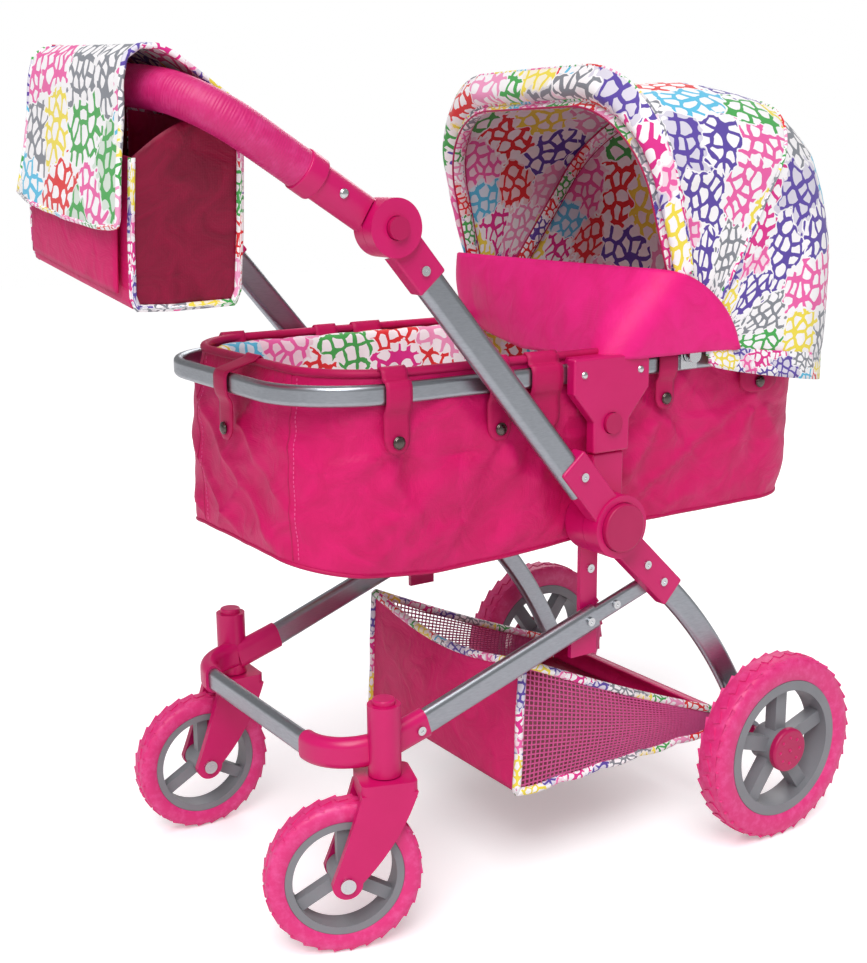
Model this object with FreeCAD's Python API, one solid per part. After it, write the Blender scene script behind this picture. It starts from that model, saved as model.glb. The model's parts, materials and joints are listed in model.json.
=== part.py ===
import FreeCAD, Part
import math
import os

# Doll stroller with a lift-off bassinet, swivel front wheels, folding push arms and a tilting handle.
# Millimetres. +Z is up and z = 0 is the floor. +X points away from the person who pushes,
# towards the large wheels and the head of the bassinet. -Y is the right side. x = 0 is mid length.

os.makedirs("parts", exist_ok=True)

# Main layout, given as distances from the rear axle and the floor
axleX = 225.3
rimHalfWidth = 142.0  # the bassinet's rim; every width across the frame follows it
hubAhead = 180.0
hubZ = 313.0
postAhead = 387.0
postHalfSpacing = rimHalfWidth - 7.0
clearance = 0.4
runningFit = 0.06

# Rear wheels
rearTyreRadius = 85.0
rearTyreWidth = 29.0
rearRimRadius = 63.0
rearTrackHalf = rimHalfWidth + 33.5
rearAxleRadius = 4.0
hubCapRadius = 20.0

# Casters
frontTyreRadius = 62.5
frontTyreWidth = 23.0
frontRimRadius = 47.0
casterTrail = 34.7
forkBoltRadius = 3.0
forkBladeThickness = 6.0
forkBladeGap = 2.5
stemRadius = 5.0
crownTopZ = 141.0
housingRadius = 13.0
housingTopZ = 199.0
casterRestTurnRight = -19.0
casterRestTurnLeft = -2.0

# Flat-oval tubes: height across the flats, thickness, wall
legTubeHeight = 22.0
legTubeThickness = 10.0
armTubeHeight = 24.0
armTubeThickness = 11.0
tubeWall = 1.2
legFrontAhead = 361.0
legStepAhead = 178.0
legSlope = 0.346
legSplay = 0.034
legPlaneY = rimHalfWidth - 15.6
legZAtFront = 165.8
crossBarAhead = 428.0
crossBarZ = 158.0
crossBarHalf = rimHalfWidth - 56.0

# Fold hub
hubRadius = 26.0
hubFixedInnerY = rimHalfWidth - 15.0
hubFixedOuterY = rimHalfWidth + 7.0
strutThickness = 4.4
strutWidth = 18.0
strutEyeRadius = 18.0
hubArmOuterY = rimHalfWidth + 25.0
hubButtonTravel = 3.0
hubButtonRadius = 20.0
connectorWidth = 27.0
lowerConnectorLength = 106.0
rearLegAngle = -44.0
rearLegPlaneY = rimHalfWidth + 0.5
rearLegHeight = 22.0
rearLegThickness = 9.0

# Push arms and the handle hinge
armPlaneY = rimHalfWidth + 16.0
armAngle = 135.5
armConnectorLength = 76.0
hingeAhead = 391.0
hingeZ = 557.0
hingeRadius = 20.5
hingeInnerY = rimHalfWidth + 4.5
hingeMidY = rimHalfWidth + 16.5
hingeOuterY = rimHalfWidth + 28.5
hingeConnectorLength = 52.0
heightButtonRadius = 8.0
heightButtonTravel = 3.0

# Handle bow, in a plane that rises away from the hinge
handleRise = 32.6
handleTubeRadius = 10.0
handleLegY = rimHalfWidth + 8.5
handleLegLength = 117.0
handleCornerRadius = 54.0
handleCornerTurn = 75.0
gripRadius = 14.5
gripStart = 62.0
gripCollarLength = 12.0

# Handle bag
bagDepth = 76.0
bagWidth = 196.0
bagHeight = 128.0
bagCentreY = -25.0
bagFrontAhead = hingeAhead + 168.0
bagBottomZ = hingeZ - 50.0
bagWall = 2.0
bagTilt = 4.0
bagMouthSlope = 22.0
bagMouthDrop = 16.0
flapThickness = 2.0
flapFrontDrop = 100.0
flapStandOff = 3.0

# Bassinet
rimZ = 437.0
rimFootAhead = 453.0
rimHeadAhead = -92.0
rimCornerRadius = 77.0
rimHeight = 16.0
rimThickness = 8.0
tubBottomZ = 292.0
tubTaper = 15.0
tubWall = 3.0
tubRimGap = 1.0
tubRise = 6.0
boardThickness = 4.0
mattressThickness = 26.0
mattressGap = 5.0
bracketTopWidth = 78.0
bracketLowWidth = 37.0
bracketThickness = 10.5
bracketBottomZ = 372.0
bracketTopZ = 450.0
bracketNeckZ = 408.0
bracketButtonZ = 396.0
bracketButtonRadius = 8.5
bracketButtonTravel = 2.5
tongueWidth = 18.0
tongueThickness = 5.0
tongueInset = 3.0
socketWidth = 32.0
socketWall = 3.0

# Hood: bows and cloth lie in planes that turn about one sideways axis
hoodPivotAhead = 90.0
hoodPivotZ = 443.0
hoodHalfWidth = rimHalfWidth + 9.2
hoodCloth = 2.0
hoodLeanSlope = 0.06
hoodCorner = 82.0
hoodRoot = 14.0
frontBowAngle = -15.0
middleBowAngle = 34.0
hoodSeamAngle = 0.2
hoodHemAngle = 97.0
bowWidth = 10.0
bowThickness = 1.6
bowGap = 0.6
bowDrop = 2.6
bowEyeRadius = 6.5
hoodPinRadius = 2.5
hoodPinHeadRadius = 6.5
hoodPinHeadHeight = 2.2
hoodFootThickness = 1.8
brimWidth = 27.0
brimSideShare = 0.6
brimRoot = 80.0

# Apron
apronCloth = 2.0
apronFootAhead = 186.0
apronTopAhead = 131.0
apronWingAhead = 55.0
apronLowZ = 451.0
apronHighZ = 516.0
apronHalfWidth = rimHalfWidth + 12.2
apronCorner = 26.0

# Basket
basketFrontAhead = 248.0
basketRearAhead = 22.0
basketHalfWidth = rimHalfWidth - 23.0
basketFrontTopZ = 193.0
basketRearTopZ = 103.0
basketFloorZ = 80.0
basketWall = 2.0

# Screws
screwHeadRadius = 3.6
screwHeadHeight = 1.8
screwShankRadius = 1.6
screwShankLength = 7.0
legScrewLift = 0.16  # head seats just clear of the splayed tube
elbowScrewLift = 0.4

sides = {"right": -1.0, "left": 1.0}
nodes = {}


def vec(x, y, z):
    return FreeCAD.Vector(x, y, z)


def ahead(distance):
    # x of a point the given distance in front of the rear axle, towards the casters
    return axleX - distance


hubX = ahead(hubAhead)
postX = ahead(postAhead)
hingeX = ahead(hingeAhead)
pivotX = ahead(hoodPivotAhead)


def placed(shape, origin, along, across):
    # Carries a shape drawn about Z so that Z lies along one direction and X as near as can be to another
    z = FreeCAD.Vector(along).normalize()
    y = z.cross(across).normalize()
    x = y.cross(z)
    matrix = FreeCAD.Matrix(
        x.x, y.x, z.x, origin.x,
        x.y, y.y, z.y, origin.y,
        x.z, y.z, z.z, origin.z,
        0, 0, 0, 1)
    moved = shape.copy()
    moved.Placement = FreeCAD.Placement(matrix).multiply(moved.Placement)
    return moved


def cylinderY(radius, x, z, y0, y1):
    low = min(y0, y1)
    return Part.makeCylinder(radius, abs(y1 - y0), vec(x, low, z), vec(0, 1, 0))


def boxBetween(x0, x1, y0, y1, z0, z1):
    corner = vec(min(x0, x1), min(y0, y1), min(z0, z1))
    return Part.makeBox(abs(x1 - x0), abs(y1 - y0), abs(z1 - z0), corner)


def ovalWire(across, tall):
    # Stadium about the origin in the XY plane, its long side along Y
    r = across / 2
    straight = tall / 2 - r
    top = Part.Arc(vec(r, straight, 0), vec(0, straight + r, 0), vec(-r, straight, 0)).toShape()
    left = Part.LineSegment(vec(-r, straight, 0), vec(-r, -straight, 0)).toShape()
    low = Part.Arc(vec(-r, -straight, 0), vec(0, -straight - r, 0), vec(r, -straight, 0)).toShape()
    right = Part.LineSegment(vec(r, -straight, 0), vec(r, straight, 0)).toShape()
    return Part.Wire([top, left, low, right])


def ovalBar(start, end, across, tall):
    # Straight flat-oval bar whose thin side lies as near as can be along Y
    direction = end - start
    thinSide = vec(1, 0, 0) if abs(direction.y) > 0.9 * direction.Length else vec(0, 1, 0)
    bar = Part.Face(ovalWire(across, tall)).extrude(vec(0, 0, direction.Length))
    return placed(bar, start, direction, thinSide)


def ovalTube(start, end, across, tall, wall):
    outer = ovalBar(start, end, across, tall)
    unit = FreeCAD.Vector(end - start).normalize()
    inner = ovalBar(start - unit, end + unit, across - 2 * wall, tall - 2 * wall)
    return outer.cut(inner)


def roundedLoop(x0, x1, halfWidth, radius, z):
    # Closed rounded rectangle in a level plane
    y = halfWidth
    k = radius * (1 - math.sqrt(0.5))
    edges = [
        Part.LineSegment(vec(x0 + radius, -y, z), vec(x1 - radius, -y, z)).toShape(),
        Part.Arc(vec(x1 - radius, -y, z), vec(x1 - k, -y + k, z), vec(x1, -y + radius, z)).toShape(),
        Part.LineSegment(vec(x1, -y + radius, z), vec(x1, y - radius, z)).toShape(),
        Part.Arc(vec(x1, y - radius, z), vec(x1 - k, y - k, z), vec(x1 - radius, y, z)).toShape(),
        Part.LineSegment(vec(x1 - radius, y, z), vec(x0 + radius, y, z)).toShape(),
        Part.Arc(vec(x0 + radius, y, z), vec(x0 + k, y - k, z), vec(x0, y - radius, z)).toShape(),
        Part.LineSegment(vec(x0, y - radius, z), vec(x0, -y + radius, z)).toShape(),
        Part.Arc(vec(x0, -y + radius, z), vec(x0 + k, -y + k, z), vec(x0 + radius, -y, z)).toShape(),
    ]
    return Part.Wire(edges)


def polygonY(points, y0, y1):
    # Prism with the given x, z outline between two y planes
    low = min(y0, y1)
    loop = [vec(x, low, z) for x, z in points]
    face = Part.Face(Part.makePolygon(loop + loop[:1]))
    return face.extrude(vec(0, abs(y1 - y0), 0))


def softened(shape, size):
    # Rounds every edge
    return shape.makeFillet(size, shape.Edges)


def armBlock(x, z, angle, length, width, y0, y1):
    # Flat arm that leaves a hub at an angle in the XZ plane, with a square far end
    a = math.radians(angle)
    ux, uz = math.cos(a), math.sin(a)
    nx, nz = -uz * width / 2, ux * width / 2
    outline = [
        (x + nx, z + nz),
        (x + ux * length + nx, z + uz * length + nz),
        (x + ux * length - nx, z + uz * length - nz),
        (x - nx, z - nz)]
    return polygonY(outline, y0, y1)


def alongAngle(x, z, angle, distance):
    a = math.radians(angle)
    return x + distance * math.cos(a), z + distance * math.sin(a)


def legPoint(side, distanceAhead):
    # Centre of the front leg tube at a distance in front of the rear axle
    run = legFrontAhead - distanceAhead
    return vec(ahead(distanceAhead), side * (legPlaneY + legSplay * run), legZAtFront + legSlope * run)


def screw(point, outward):
    head = Part.makeCylinder(screwHeadRadius, screwHeadHeight, point, outward)
    slot = Part.makeCylinder(screwHeadRadius * 0.35, screwHeadHeight, point + outward * 1.0, outward)
    shank = Part.makeCylinder(screwShankRadius, screwShankLength,
                              point - outward * screwShankLength, outward)
    return head.cut(slot).fuse(shank)


def drilled(shape, points, outward):
    # Clearance holes under screw heads
    for point in points:
        start = point - outward * (screwShankLength + 1)
        shape = shape.cut(Part.makeCylinder(screwShankRadius + 0.2, screwShankLength + 2, start,
                                            outward))
    return shape


# ---------------------------------------------------------------- chassis

def frontLeg(side):
    return ovalTube(legPoint(side, legFrontAhead), legPoint(side, legStepAhead),
                    legTubeThickness, legTubeHeight, tubeWall)


def insertSize():
    # Thickness and height of the narrow tube inside the front leg
    inside = 2 * (tubeWall + clearance)
    return legTubeThickness - inside, legTubeHeight - inside - 3


def insertEnds(side):
    return legPoint(side, legStepAhead + 30), legPoint(side, legStepAhead - 54)


def legInsert(side):
    # Narrow tube that slides inside the front leg and reaches the lower connector
    start, end = insertEnds(side)
    tube = ovalTube(start, end, *insertSize(), tubeWall)
    return drilled(tube, legScrewPoints(side), vec(0, side, 0))


def crossBar():
    x = ahead(crossBarAhead)
    return ovalTube(vec(x, -crossBarHalf, crossBarZ), vec(x, crossBarHalf, crossBarZ),
                    legTubeThickness, legTubeHeight - 2, tubeWall)


def crossBarSolidEnd(side, length):
    x = ahead(crossBarAhead)
    inside = 2 * (tubeWall + clearance)
    start = vec(x, side * (crossBarHalf - length), crossBarZ)
    end = vec(x, side * crossBarHalf, crossBarZ)
    return ovalBar(start, end, legTubeThickness - inside, legTubeHeight - 2 - inside)


def elbow(side):
    # Casting that joins the cross bar, the swivel housing and the front leg tube
    barX = ahead(crossBarAhead)
    legEnd = legPoint(side, legFrontAhead)
    z = crossBarZ
    half = legTubeHeight / 2 + 1.5
    thick = legTubeThickness / 2 + 2.5
    housing = Part.makeCylinder(housingRadius, housingTopZ - crownTopZ - 1,
                                vec(postX, side * postHalfSpacing, crownTopZ + 1))
    pathStart = vec(barX, side * crossBarHalf, z)
    pathTurn = vec(barX + 12, side * (crossBarHalf + 30), z + 1)
    pathEnd = vec(postX, side * (postHalfSpacing - 8), z + 3)
    bend = Part.Wire([Part.Arc(pathStart, pathTurn, pathEnd).toShape()])
    section = placed(ovalWire(2 * thick, 2 * half), pathStart, vec(0, side, 0), vec(1, 0, 0))
    curve = bend.makePipeShell([section], True, False)
    sleeveEnd = legPoint(side, legFrontAhead - 16)
    sleeve = ovalBar(vec(postX, legEnd.y - side * 0.5, z + 1), sleeveEnd, 2 * thick, 2 * half)
    body = housing.fuse([curve, sleeve, crossBarSolidEnd(side, 14)])
    socket = ovalBar(legEnd, legPoint(side, legFrontAhead - 30), legTubeThickness, legTubeHeight)
    body = body.cut(socket)
    stemHole = Part.makeCylinder(stemRadius + runningFit, housingTopZ - crownTopZ - 6,
                                 vec(postX, side * postHalfSpacing, crownTopZ))
    return body.cut(stemHole).removeSplitter()


def housingCaps():
    caps = []
    for side in sides.values():
        base = vec(postX, side * postHalfSpacing, housingTopZ)
        disc = Part.makeCylinder(housingRadius - 4, 4.5, base)
        caps.append(disc.makeFillet(1.5, [disc.Edges[0]]))
    return Part.makeCompound(caps)


def rearLegWire():
    # Centre line of the rear leg: from the connector along the hub line, then bending down to the axle
    x0, z0 = alongAngle(hubX, hubZ, rearLegAngle, lowerConnectorLength - 34)
    x1, z1 = alongAngle(hubX, hubZ, rearLegAngle, lowerConnectorLength)
    chord = math.hypot(axleX - x1, rearTyreRadius - z1)
    turn = math.atan2(rearTyreRadius - z1, axleX - x1) - math.radians(rearLegAngle)
    sag = chord / 2 * math.tan(abs(turn) / 2)
    chordAngle = math.atan2(rearTyreRadius - z1, axleX - x1)
    middleX = (x1 + axleX) / 2 - sag * math.sin(chordAngle)
    middleZ = (z1 + rearTyreRadius) / 2 + sag * math.cos(chordAngle)
    line = Part.LineSegment(vec(x0, 0, z0), vec(x1, 0, z1)).toShape()
    arc = Part.Arc(vec(x1, 0, z1), vec(middleX, 0, middleZ), vec(axleX, 0, rearTyreRadius)).toShape()
    return Part.Wire([line, arc]), vec(x0, 0, z0)


def rearLeg(side):
    path, start = rearLegWire()
    a = math.radians(rearLegAngle)
    section = placed(ovalWire(rearLegThickness, rearLegHeight), start,
                     vec(math.cos(a), 0, math.sin(a)), vec(0, 1, 0))
    bar = path.makePipeShell([section], True, False)
    foot = cylinderY(rearLegHeight / 2 + 1, axleX, rearTyreRadius, -rearLegThickness / 2,
                     rearLegThickness / 2)
    bar = bar.fuse(foot)
    bar.translate(vec(0, side * rearLegPlaneY, 0))
    hole = cylinderY(rearAxleRadius + clearance, axleX, rearTyreRadius, -400, 400)
    return drilled(bar.cut(hole), chassisScrewPoints(side), vec(0, side, 0)).removeSplitter()


def rearAxle():
    end = rearTrackHalf + rearTyreWidth / 2 - 4
    return cylinderY(rearAxleRadius, axleX, rearTyreRadius, -end, end)


def axleTube():
    half = rearLegPlaneY - rearLegThickness / 2 - clearance
    tube = cylinderY(9, axleX, rearTyreRadius, -half, half)
    return tube.cut(cylinderY(rearAxleRadius + clearance, axleX, rearTyreRadius, -half - 1, half + 1))


def axleSpacers():
    spacers = []
    for side in sides.values():
        y0 = rearLegPlaneY + rearLegThickness / 2
        y1 = rearTrackHalf - rearTyreWidth / 2 - clearance
        ring = cylinderY(8, axleX, rearTyreRadius, side * y0, side * y1)
        spacers.append(ring.cut(cylinderY(rearAxleRadius + clearance, axleX, rearTyreRadius, -400,
                                          400)))
    return Part.makeCompound(spacers)


def chassisScrewPoints(side):
    y = side * hubFixedOuterY
    points = []
    for distance in (62, 88):
        x, z = alongAngle(hubX, hubZ, rearLegAngle, distance)
        points.append(vec(x, y, z))
    return points


def legScrewPoints(side):
    points = []
    for distance in (legStepAhead + 8, legStepAhead - 20):
        centre = legPoint(side, distance)
        step = legTubeThickness / 2
        if distance < legStepAhead:
            step -= tubeWall + clearance
        points.append(centre + vec(0, side * (step + legScrewLift), 0))
    return points


def elbowScrewPoints(side):
    centre = legPoint(side, legFrontAhead - 8)
    return [centre + vec(0, side * (legTubeThickness / 2 + 2.5 + elbowScrewLift), 0)]


def strutScrewPoints(side):
    return [vec(hubX + 1, side * hubFixedInnerY, hubZ - 44)]


def tongueY():
    # Distance of the bracket tongue's middle from the centre plane
    return rimHalfWidth + tongueInset


def rearLegBar(side):
    # Rear leg's outline where the lower connector holds it
    path, start = rearLegWire()
    a = math.radians(rearLegAngle)
    section = placed(ovalWire(rearLegThickness, rearLegHeight), start,
                     vec(math.cos(a), 0, math.sin(a)), vec(0, 1, 0))
    bar = path.makePipeShell([section], True, False)
    bar.translate(vec(0, side * rearLegPlaneY, 0))
    return bar


def hubBody(side):
    # Fixed half of the fold hub: drum, lower connector down the rear leg, socket for the bassinet bracket
    y0, y1 = side * hubFixedInnerY, side * hubFixedOuterY
    drum = cylinderY(hubRadius, hubX, hubZ, y0, y1)
    legY0 = side * (rearLegPlaneY - rearLegThickness / 2 - 2)
    connector = armBlock(hubX, hubZ, rearLegAngle, lowerConnectorLength, connectorWidth, legY0, y1)
    connector = softened(connector, 2.0)
    socketLow = hubZ + hubRadius - 8
    socketInner = tongueY() - tongueThickness / 2 - clearance - socketWall
    socket = boxBetween(hubX - socketWidth / 2, hubX + socketWidth / 2, side * socketInner, y1,
                        socketLow, bracketBottomZ - clearance)
    socket = softened(socket, 2.0)
    body = drum.fuse([connector, socket]).cut(rearLegBar(side))
    halfWidth = tongueWidth / 2 + clearance
    halfDepth = tongueThickness / 2 + clearance
    tongueSpace = boxBetween(hubX - halfWidth, hubX + halfWidth,
                             side * tongueY() - halfDepth, side * tongueY() + halfDepth,
                             socketLow + 5, bracketBottomZ + 1)
    start, end = insertEnds(side)
    insertSpace = ovalBar(start, end, *insertSize())
    body = body.cut(tongueSpace).cut(insertSpace)
    return drilled(body, chassisScrewPoints(side), vec(0, side, 0)).removeSplitter()


def hubStruts():
    struts = []
    for side in sides.values():
        y1 = side * hubFixedInnerY
        y0 = side * (hubFixedInnerY - strutThickness)
        low = legPoint(side, hubAhead).z - legTubeHeight / 2 - 24
        eye = cylinderY(strutEyeRadius, hubX, hubZ, y0, y1)
        plate = boxBetween(hubX - strutWidth / 2, hubX + strutWidth / 2, y0, y1, low, hubZ)
        foot = boxBetween(hubX - strutWidth, hubX + strutWidth / 2, y0, y1, low, low + 16)
        strut = eye.fuse([plate, foot])
        points = strutScrewPoints(side)
        struts.append(drilled(strut, points, vec(0, side, 0)).removeSplitter())
    return Part.makeCompound(struts)


def chassisScrews():
    screws = []
    for side in sides.values():
        outward = vec(0, side, 0)
        groups = (chassisScrewPoints(side), legScrewPoints(side), elbowScrewPoints(side),
                  strutScrewPoints(side))
        for points in groups:
            for point in points:
                screws.append(screw(point, outward))
    return Part.makeCompound(screws)


def basket():
    # Open-topped cloth tray: front wall hung from the front legs, rear wall from the axle tube
    x0, x1 = ahead(basketFrontAhead), ahead(basketRearAhead)
    y = basketHalfWidth
    outline = [(x0, basketFloorZ), (x1, basketFloorZ), (x1, basketRearTopZ), (x0, basketFrontTopZ)]
    outer = polygonY(outline, -y, y)
    t = basketWall
    inner = polygonY([
        (x0 + t, basketFloorZ + t), (x1 - t, basketFloorZ + t),
        (x1 - t, basketFrontTopZ + 20), (x0 + t, basketFrontTopZ + 20)], -y + t, y - t)
    return outer.cut(inner)


# ---------------------------------------------------------------- wheels

def tyre(tyreRadius, rimRadius, width, lugs):
    # Rounded tread with a ring of shallow cross grooves on each shoulder
    body = Part.makeCylinder(tyreRadius, width, vec(0, 0, -width / 2))
    body = body.makeFillet(width * 0.30, [e for e in body.Edges if e.Length > tyreRadius * 3])
    body = body.cut(Part.makeCylinder(rimRadius, width + 2, vec(0, 0, -width / 2 - 1)))
    groove = Part.makeBox(6, width * 0.06 + 2.0, width * 0.5, vec(tyreRadius - 2.2, -1.5, width * 0.16))
    grooves = []
    for i in range(lugs):
        turn = 360.0 * i / lugs
        for flip in (0, 1):
            g = groove.copy()
            if flip:
                g.rotate(vec(0, 0, 0), vec(1, 0, 0), 180)
            g.rotate(vec(0, 0, 0), vec(0, 0, 1), turn + flip * 180.0 / lugs)
            grooves.append(g)
    return body.cut(Part.makeCompound(grooves))


def spokedRim(rimRadius, width, hubR, boreR, spokes, spokeWidth, ringDepth, hubHalf):
    # Channel ring, hub and flat radial spokes; a slim bead on each side holds the tyre
    ring = Part.makeCylinder(rimRadius - 0.05, width - 4, vec(0, 0, -width / 2 + 2))
    ring = ring.cut(Part.makeCylinder(rimRadius - ringDepth, width, vec(0, 0, -width / 2)))
    hub = Part.makeCylinder(hubR, 2 * hubHalf, vec(0, 0, -hubHalf))
    parts = [hub]
    for i in range(spokes):
        bar = Part.makeBox(rimRadius - ringDepth / 2 - hubR / 2, spokeWidth, width * 0.42,
                           vec(hubR / 2, -spokeWidth / 2, -width * 0.21))
        bar.rotate(vec(0, 0, 0), vec(0, 0, 1), 360.0 * i / spokes + 90)
        parts.append(bar)
    body = ring.fuse(parts)
    bore = Part.makeCylinder(boreR, 4 * hubHalf + width, vec(0, 0, -2 * hubHalf - width / 2))
    return body.cut(bore).removeSplitter()


def rearWheelPiece(shape, side):
    # Turns a wheel piece drawn about Z to the rear axle, its outer face outwards
    return placed(shape, vec(axleX, side * rearTrackHalf, rearTyreRadius), vec(0, side, 0),
                  vec(1, 0, 0))


def rearRim():
    return spokedRim(rearRimRadius, rearTyreWidth, 17, rearAxleRadius + runningFit, 5, 13, 9,
                     rearTyreWidth / 2 - 1.5)


def rearHubCap():
    # Domed cap with a shallow cup behind for the axle end
    low = rearTyreWidth / 2 - 1.5
    cap = Part.makeCylinder(hubCapRadius, 6, vec(0, 0, low))
    cap = cap.makeFillet(2.5, [cap.Edges[0]])
    return cap.cut(Part.makeCylinder(rearAxleRadius + 2, 3.5, vec(0, 0, low)))


def casterPiece(shape, side):
    # Places a piece drawn about the swivel axis, with the wheel trailing, at its post and rest turn
    turn = casterRestTurnLeft if side > 0 else casterRestTurnRight
    moved = shape.copy()
    moved.rotate(vec(0, 0, 0), vec(0, 0, 1), turn)
    moved.translate(vec(postX, side * postHalfSpacing, 0))
    return moved


def casterFork():
    # Crown, upright stem and two blades that sweep back to the wheel bolt
    inner = frontTyreWidth / 2 + forkBladeGap
    outer = inner + forkBladeThickness
    crown = boxBetween(-22, 22, -outer, outer, frontTyreRadius * 2 + 2, crownTopZ)
    crown = crown.makeFillet(5, [e for e in crown.Edges if abs(e.tangentAt(e.FirstParameter).z) > 0.9])
    stem = Part.makeCylinder(stemRadius, housingTopZ - crownTopZ - 8, vec(0, 0, crownTopZ))
    parts = [crown, stem]
    for y0, y1 in ((inner, outer), (-outer, -inner)):
        front = Part.Arc(vec(-22, y0, crownTopZ - 8), vec(-34, y0, 96),
                         vec(-casterTrail - 12, y0, frontTyreRadius)).toShape()
        toe = Part.Arc(vec(-casterTrail - 12, y0, frontTyreRadius),
                       vec(-casterTrail, y0, frontTyreRadius - 12),
                       vec(-casterTrail + 12, y0, frontTyreRadius)).toShape()
        back = Part.Arc(vec(-casterTrail + 12, y0, frontTyreRadius), vec(2, y0, 92),
                        vec(22, y0, crownTopZ - 8)).toShape()
        top = Part.LineSegment(vec(22, y0, crownTopZ - 8), vec(-22, y0, crownTopZ - 8)).toShape()
        blade = Part.Face(Part.Wire([front, toe, back, top])).extrude(vec(0, y1 - y0, 0))
        parts.append(blade)
    body = parts[0].fuse(parts[1:])
    hole = cylinderY(forkBoltRadius + 0.01, -casterTrail, frontTyreRadius, -40, 40)
    return body.cut(hole).removeSplitter()


def casterWheel(shape):
    # Wheel piece drawn about Z, stood up on the caster's bolt
    return placed(shape, vec(-casterTrail, 0, frontTyreRadius), vec(0, -1, 0), vec(1, 0, 0))


def frontRim():
    return spokedRim(frontRimRadius, frontTyreWidth, 11, forkBoltRadius + runningFit, 3, 10, 6,
                     frontTyreWidth / 2 + 1.5)


def casterBolt():
    outer = frontTyreWidth / 2 + forkBladeGap + forkBladeThickness
    rod = cylinderY(forkBoltRadius, -casterTrail, frontTyreRadius, -outer, outer)
    heads = [cylinderY(6, -casterTrail, frontTyreRadius, s * outer, s * (outer + 3)) for s in (-1, 1)]
    return rod.fuse(heads)


# ---------------------------------------------------------------- push frame

def armLineStart(side):
    x, z = alongAngle(hubX, hubZ, armAngle, 50)
    return vec(x, side * armPlaneY, z)


def armLineEnd(side):
    # The arm tube stops inside the lower half of the handle hinge
    start = armLineStart(side)
    toHinge = vec(hingeX, side * armPlaneY, hingeZ) - start
    unit = FreeCAD.Vector(toHinge).normalize()
    return start + unit * (toHinge.Length - 24)


def armDirectionAngle():
    start = armLineStart(1)
    return math.degrees(math.atan2(hingeZ - start.z, hingeX - start.x))


def pushArm(side):
    return ovalTube(armLineStart(side), armLineEnd(side), armTubeThickness, armTubeHeight, tubeWall)


def armSpace(side):
    return ovalBar(armLineStart(side), armLineEnd(side), armTubeThickness, armTubeHeight)


def armHub(side):
    # Turning half of the fold hub with the sleeve that holds the push arm
    y0, y1 = side * (hubFixedOuterY + clearance), side * hubArmOuterY
    drum = cylinderY(hubRadius, hubX, hubZ, y0, y1)
    sleeve = armBlock(hubX, hubZ, armDirectionAngle(), armConnectorLength, connectorWidth + 1,
                      side * (armPlaneY - armTubeThickness / 2 - 2),
                      side * (armPlaneY + armTubeThickness / 2 + 2))
    body = drum.fuse(softened(sleeve, 2.0)).cut(armSpace(side))
    well = cylinderY(hubButtonRadius + clearance, hubX, hubZ, side * (hubArmOuterY - 7),
                     side * (hubArmOuterY + 1))
    return drilled(body.cut(well), armScrewPoints(side)[:1], vec(0, side, 0)).removeSplitter()


def hubButton(side):
    y0 = side * (hubArmOuterY - 7 + hubButtonTravel + clearance)
    button = cylinderY(hubButtonRadius, hubX, hubZ, y0, side * (hubArmOuterY + 5))
    return button.makeFillet(1.5,
                             [e for e in button.Edges if abs(e.CenterOfMass.y) > hubArmOuterY + 4.5])


def hingeBase(side):
    # Lower half of the handle hinge: outer disc and the sleeve on the arm's top end
    disc = cylinderY(hingeRadius, hingeX, hingeZ, side * (hingeMidY + clearance), side * hingeOuterY)
    sleeve = armBlock(hingeX, hingeZ, armDirectionAngle() - 180, hingeConnectorLength, connectorWidth,
                      side * (armPlaneY - armTubeThickness / 2 - 2),
                      side * (armPlaneY + armTubeThickness / 2 + 2))
    upperSpace = cylinderY(hingeRadius + 1.5, hingeX, hingeZ, side * (hingeInnerY - 5),
                           side * (hingeMidY + clearance))
    sleeve = softened(sleeve, 2.0).cut(upperSpace)
    body = disc.fuse(sleeve).cut(armSpace(side))
    well = cylinderY(heightButtonRadius + clearance, hingeX, hingeZ, side * (hingeMidY + 4),
                     side * (hingeOuterY + 1))
    pinHole = cylinderY(5 + runningFit, hingeX, hingeZ, side * hingeMidY, side * (hingeMidY + 3))
    return drilled(body.cut(well).cut(pinHole), armScrewPoints(side)[1:],
                   vec(0, side, 0)).removeSplitter()


def armScrewPoints(side):
    y = side * (armPlaneY + armTubeThickness / 2 + 2)
    x0, z0 = alongAngle(hubX, hubZ, armDirectionAngle(), 60)
    x1, z1 = alongAngle(hingeX, hingeZ, armDirectionAngle() - 180, 40)
    return [vec(x0, y, z0), vec(x1, y, z1)]


def armScrews():
    screws = []
    for side in sides.values():
        for point in armScrewPoints(side):
            screws.append(screw(point, vec(0, side, 0)))
    return Part.makeCompound(screws)


# ---------------------------------------------------------------- handle

def handlePoint(distance, y):
    # Point in the handle's rising plane, a distance from the hinge line
    a = math.radians(handleRise)
    return vec(hingeX - distance * math.cos(a), y, hingeZ + distance * math.sin(a))


def cornerOffset(turn):
    # How far a handle corner has run out and in after a turn in degrees
    a = math.radians(turn)
    return handleCornerRadius * math.sin(a), handleCornerRadius * (1 - math.cos(a))


def handleTop():
    # Distance of the cross bar's middle from the hinge line: the arch is tangent to both corners
    out, inward = cornerOffset(handleCornerTurn)
    half = math.radians(90 - handleCornerTurn)
    rise = (handleLegY - inward) * math.tan(half / 2)
    return handleLegLength + out + rise


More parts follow.
